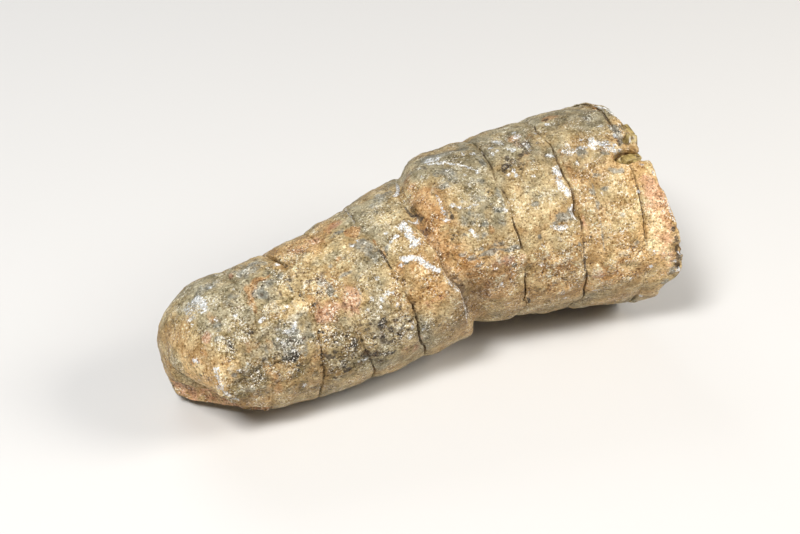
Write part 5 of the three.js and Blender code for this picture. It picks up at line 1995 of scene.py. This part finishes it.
@dataclass
class FossilCast:
    """The stone itself, one closed skin.

    Attributes:
        sides: Steps round the cast.
        dense_towards: The angle where the steps are closest.
        dense_by: How much closer they are there.
        row_step: Distance between rows along a chamber.
        rows_along: The angle at which it is measured.
        seam_rows: Distances of the closer rows beside a seam.
        dome_spread: How they gather at its rim.
        dish_spread: How they gather at its rim.
        cut_shade: How much lighter the fresh corner break is.
    """

    form: CastForm = field(default_factory=CastForm)
    weathering: Weathering = field(default_factory=Weathering)
    staining: Staining = field(default_factory=Staining)
    finish: LimestoneFinish = field(default_factory=LimestoneFinish)
    sides: int = 256
    dense_towards: float = 55.0
    dense_by: float = 0.34
    row_step: float = 0.4
    rows_along: float = 45.0
    seam_rows: tuple[float, ...] = (0.08, 0.16, 0.25, 0.37, 0.54, 0.8)
    dome_rows: int = 32
    dome_spread: float = 0.9
    dish_rows: int = 32
    dish_spread: float = 1.4
    cut_shade: float = 0.2

    def _rows(self) -> list[float]:
        """The rows from pole to pole.

        Returns:
            Their chamber numbers, rising.
        """
        dome = (math.sin(i / self.dome_rows * math.pi / 2) for i in range(self.dome_rows))
        rows = [share**self.dome_spread - 1 for share in dome]
        at = np.array((self.rows_along,))
        lines = [self.form.seam_x(i, at)[0] for i in range(RIM + 1)]
        close = self.seam_rows[-1]
        for number, (start, end) in enumerate(itertools.pairwise(lines)):
            length = end - start
            inner = np.linspace(close, length - close, round((length - 2 * close) / self.row_step))
            offsets = [0.0, *self.seam_rows[:-1], *inner, *(length - s for s in self.seam_rows[-2::-1])]
            rows += [number + offset / length for offset in offsets]
        return rows + [RIM + (i / self.dish_rows) ** self.dish_spread for i in range(self.dish_rows + 1)]

    def _tube(self) -> bmesh.types.BMesh:
        """A closed tube whose x is the chamber number.

        Returns:
            The tube, to be drawn over the form.
        """
        rows = self._rows()
        tube = bmesh.new()
        ends = (rows[0], rows[-1])
        profile = [tube.verts.new((row, 0.0, 0.0 if row in ends else 1.0)) for row in rows]
        edges = [tube.edges.new(pair) for pair in itertools.pairwise(profile)]
        bmesh.ops.spin(
            tube, geom=[*profile, *edges], cent=(0, 0, 0), axis=(1, 0, 0),
            angle=math.tau, steps=self.sides, use_merge=True,
        )
        bmesh.ops.remove_doubles(tube, verts=tube.verts, dist=1e-5)
        bmesh.ops.recalc_face_normals(tube, faces=tube.faces)
        return tube

    def _plain_skin(self, mesh: bpy.types.Mesh) -> Skin:
        """Draws the tube's mesh over the form.

        Args:
            mesh: The tube's mesh, changed here.

        Returns:
            The skin.
        """
        chamber, y, z = read_rows(mesh.vertices, "co").T
        turned = np.arctan2(-y, z)
        turned -= self.dense_by * np.sin(turned - math.radians(self.dense_towards))
        skin = self.form.place(chamber.copy(), turn_between(np.degrees(turned), 0.0))
        mesh.vertices.foreach_set("co", skin.points.ravel())
        mesh.update()
        skin.normals = read_rows(mesh.vertex_normals, "vector")
        return skin

    def build(self) -> bpy.types.Object:
        """Builds the cast.

        Returns:
            The finished piece.
        """
        mesh = mesh_of("cast_skin", self._tube())
        skin = self._plain_skin(mesh)
        surface = self.weathering.weather(skin, self.form.break_line)
        places = skin.points + skin.normals * surface.rise[:, None]
        cut = self.form.wear.apply(places)
        mesh.vertices.foreach_set("co", self._fitted(places).ravel())
        rough = surface.rough
        stains = self.staining.masks(skin, surface, cut, self.form.from_siphon(skin.points, skin.chamber))
        # The shade mask: painted light and shade, a little lighter on the fresh corner break.
        shade = washed(skin, SHADE) + self.cut_shade * freshly_cut(cut)
        self._write_masks(mesh, np.column_stack((stains, rough, washed(skin, WARMTH), shade)))
        mesh.shade_smooth()
        mesh.update()
        mesh.materials.append(self.finish.material())
        piece = in_scene("limestone_cast", mesh)
        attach(piece, "root")
        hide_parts(NODE)
        LOG.info("cast: %d faces", len(mesh.polygons))
        return piece

    @staticmethod
    def _fitted(places: Array) -> Array:
        """Brings the cast to exactly the size of its place in the frame.

        Args:
            places: Places in specimen millimetres.

        Returns:
            Places in metres.
        """
        low, high = (np.array(corner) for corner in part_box(NODE))
        metres = moved_into_frame(places)
        least, most = metres.min(axis=0), metres.max(axis=0)
        LOG.info("fit: %s", np.round((high - low) / (most - least), 4))
        LOG.info("moved: %s", np.round(((high + low) / 2 - (most + least) / 2) / MM, 3))
        return low + (metres - least) * (high - low) / (most - least)

    @staticmethod
    def _write_masks(mesh: bpy.types.Mesh, masks: Array) -> None:
        """Keeps the masks on the mesh, three to an attribute.

        Args:
            mesh: The mesh.
            masks: One column for each pigment, then how rough and how warm the stone is, and its painted
                light and shade.
        """
        for name, three in zip(MASK_LAYERS, np.hsplit(masks, len(MASK_LAYERS))):
            colours = np.column_stack((three, np.ones(len(masks))))
            made = mesh.color_attributes.new(name, "FLOAT_COLOR", "POINT")
            made.data.foreach_set("color", colours.ravel())


@dataclass(frozen=True)
class Crystal:
    """One calcite crystal.

    Attributes:
        depth: How far its middle lies under the plain skin.
        size: Its length, width and height.
        turns: Its turns about the three axes, in degrees.
        bevel: How far its edges are worn.
    """

    x: float
    angle: float
    depth: float
    size: tuple[float, float, float]
    turns: tuple[float, float, float]
    bevel: float = 0.1


@dataclass
class CalciteCluster:
    """Calcite crystals in the notch and in the hollow beside it."""

    form: CastForm = field(default_factory=CastForm)
    finish: CalciteFinish = field(default_factory=CalciteFinish)
    crystals: tuple[Crystal, ...] = (
        Crystal(96.9, 29.6, 1.9, (3.9, 1.7, 1.5), (8, 6, 8)),
        Crystal(95.0, 28.9, 1.9, (1.5, 1.1, 1.1), (40, -10, 25)),
        Crystal(98.2, 28.6, 2.4, (1.7, 1.6, 1.4), (-20, 30, -15)),
        Crystal(97.6, 31.4, 2.1, (1.9, 1.0, 1.2), (15, 5, 40)),
        Crystal(98.4, 13.6, 1.1, (2.2, 3.4, 2.2), (22, 10, 12), 0.6),
        Crystal(98.3, 19.4, 1.1, (2.0, 2.6, 2.0), (44, 16, -10), 0.6),
        Crystal(98.2, 9.4, 1.1, (1.8, 2.0, 1.7), (5, 30, 30), 0.5),
        Crystal(97.8, 23.2, 1.2, (1.6, 1.6, 1.5), (30, -20, 15), 0.4),
    )
    shear: float = 0.28

    def _add(self, cluster: bmesh.types.BMesh, crystal: Crystal) -> None:
        """Adds one crystal.

        Args:
            cluster: The mesh so far.
            crystal: The crystal.
        """
        x, angle = np.array((crystal.x,)), np.array((crystal.angle,))
        side, height, radius = (v[0] for v in self.form.section(x, angle))
        out = radius - crystal.depth
        turned = math.radians(crystal.angle)
        middle = (crystal.x, side - out * math.sin(turned), height + out * math.cos(turned))
        slanted = Matrix.Identity(4)
        slanted[0][2] = slanted[1][2] = self.shear
        turn = Euler([math.radians(t) for t in crystal.turns]).to_matrix().to_4x4()
        size = Matrix.Diagonal((*crystal.size, 1.0))
        at = Matrix.Translation(Vector(moved_into_frame(np.array(middle))))
        shape = at @ Matrix.Scale(MM, 4) @ turn @ slanted @ size
        made = bmesh.ops.create_cube(cluster, size=1.0, matrix=shape)["verts"]
        edges = list({edge for vert in made for edge in vert.link_edges})
        bmesh.ops.bevel(
            cluster, geom=edges, offset=crystal.bevel * MM, segments=3, profile=0.5,
            affect="EDGES", material=-1,
        )

    def build(self) -> bpy.types.Object:
        """Builds the crystals.

        Returns:
            The finished piece.
        """
        cluster = bmesh.new()
        for crystal in self.crystals:
            self._add(cluster, crystal)
        bmesh.ops.recalc_face_normals(cluster, faces=cluster.faces)
        mesh = mesh_of("calcite_crystals", cluster)
        mesh.materials.append(self.finish.material())
        piece = in_scene("calcite_crystals", mesh)
        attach(piece, "root")
        LOG.info("calcite: %d crystals", len(self.crystals))
        return piece


# ------------------------------------------------------------------ studio


def aim(thing: bpy.types.Object, ahead: Vector) -> None:
    """Turns a light or a camera so that it looks ahead."""
    thing.rotation_mode = "QUATERNION"
    thing.rotation_quaternion = ahead.to_track_quat("-Z", "Y")


@dataclass(frozen=True)
class SoftBox:
    """One soft light.

    Attributes:
        place: Where it stands, in metres from the middle of the object.
        size: Its side.
        power: Its power in watts.
    """

    name: str
    place: tuple[float, float, float]
    size: float
    power: float
    tint: tuple[float, float, float] = (1.0, 1.0, 1.0)

    def build(self, target: Vector) -> None:
        """Puts the light in the scene.

        Args:
            target: What it faces.
        """
        lamp = bpy.data.lights.new(self.name, "AREA")
        lamp.size = self.size
        lamp.energy = self.power
        lamp.color = self.tint
        light = in_scene(self.name, lamp)
        light.location = target + Vector(self.place)
        aim(light, -Vector(self.place))


@dataclass(frozen=True)
class Studio:
    """The floor, the soft light and the camera, in metres and degrees."""

    target: Vector = field(default_factory=lambda: Vector((-0.000007, 0.002819, 0.01755)))
    distance: float = 0.355
    azimuth: float = 25.5
    elevation: float = 37.5
    lens: float = 81.0
    floor_size: float = 6.0
    sky: Paint = (0.93, 0.95, 1.0, 1.0)
    sky_strength: float = 0.14
    boxes: tuple[SoftBox, ...] = (
        SoftBox("key", (-0.27, -0.19, 0.52), 0.17, 4.15, (1.0, 0.995, 0.99)),
        SoftBox("fill", (0.42, -0.26, 0.36), 0.26, 3.05, (1.0, 0.965, 0.91)),
        SoftBox("back", (-0.05, 0.6, 0.4), 0.4, 1.3, (0.9, 0.95, 1.0)),
    )

    def _camera(self) -> None:
        """Makes the camera."""
        turned, raised = math.radians(self.azimuth), math.radians(self.elevation)
        level = math.cos(raised)
        ahead = Vector((math.sin(turned) * level, math.cos(turned) * level, -math.sin(raised)))
        lens = bpy.data.cameras.new("camera")
        lens.lens = self.lens
        lens.sensor_width = 36.0
        lens.sensor_fit = "HORIZONTAL"
        lens.clip_start, lens.clip_end = 0.01, 20.0
        camera = in_scene("camera", lens)
        camera.location = self.target - ahead * self.distance
        aim(camera, ahead)
        bpy.context.scene.camera = camera

    def _floor(self) -> None:
        """Makes the floor."""
        made = bmesh.new()
        bmesh.ops.create_grid(made, x_segments=1, y_segments=1, size=self.floor_size / 2)
        mesh = mesh_of("floor", made)
        mesh.materials.append(FloorFinish().material())
        floor = in_scene("floor", mesh)

    def _sky(self) -> None:
        """Makes the light from all round."""
        world = bpy.data.worlds.new("studio")
        world.use_nodes = True
        sky = world.node_tree.nodes["Background"]
        sky.inputs["Color"].default_value = self.sky
        sky.inputs["Strength"].default_value = self.sky_strength
        bpy.context.scene.world = world

    def build(self) -> None:
        """Sets the studio up."""
        bpy.context.scene.view_settings.view_transform = "Standard"
        self._sky()
        self._camera()
        self._floor()
        for box in self.boxes:
            box.build(self.target)


def main() -> None:
    """Builds the fossil in its studio."""
    logging.basicConfig(level=logging.INFO, format="%(name)s: %(message)s")
    Studio().build()
    FossilCast().build()
    CalciteCluster().build()


if __name__ == "__main__":
    main()
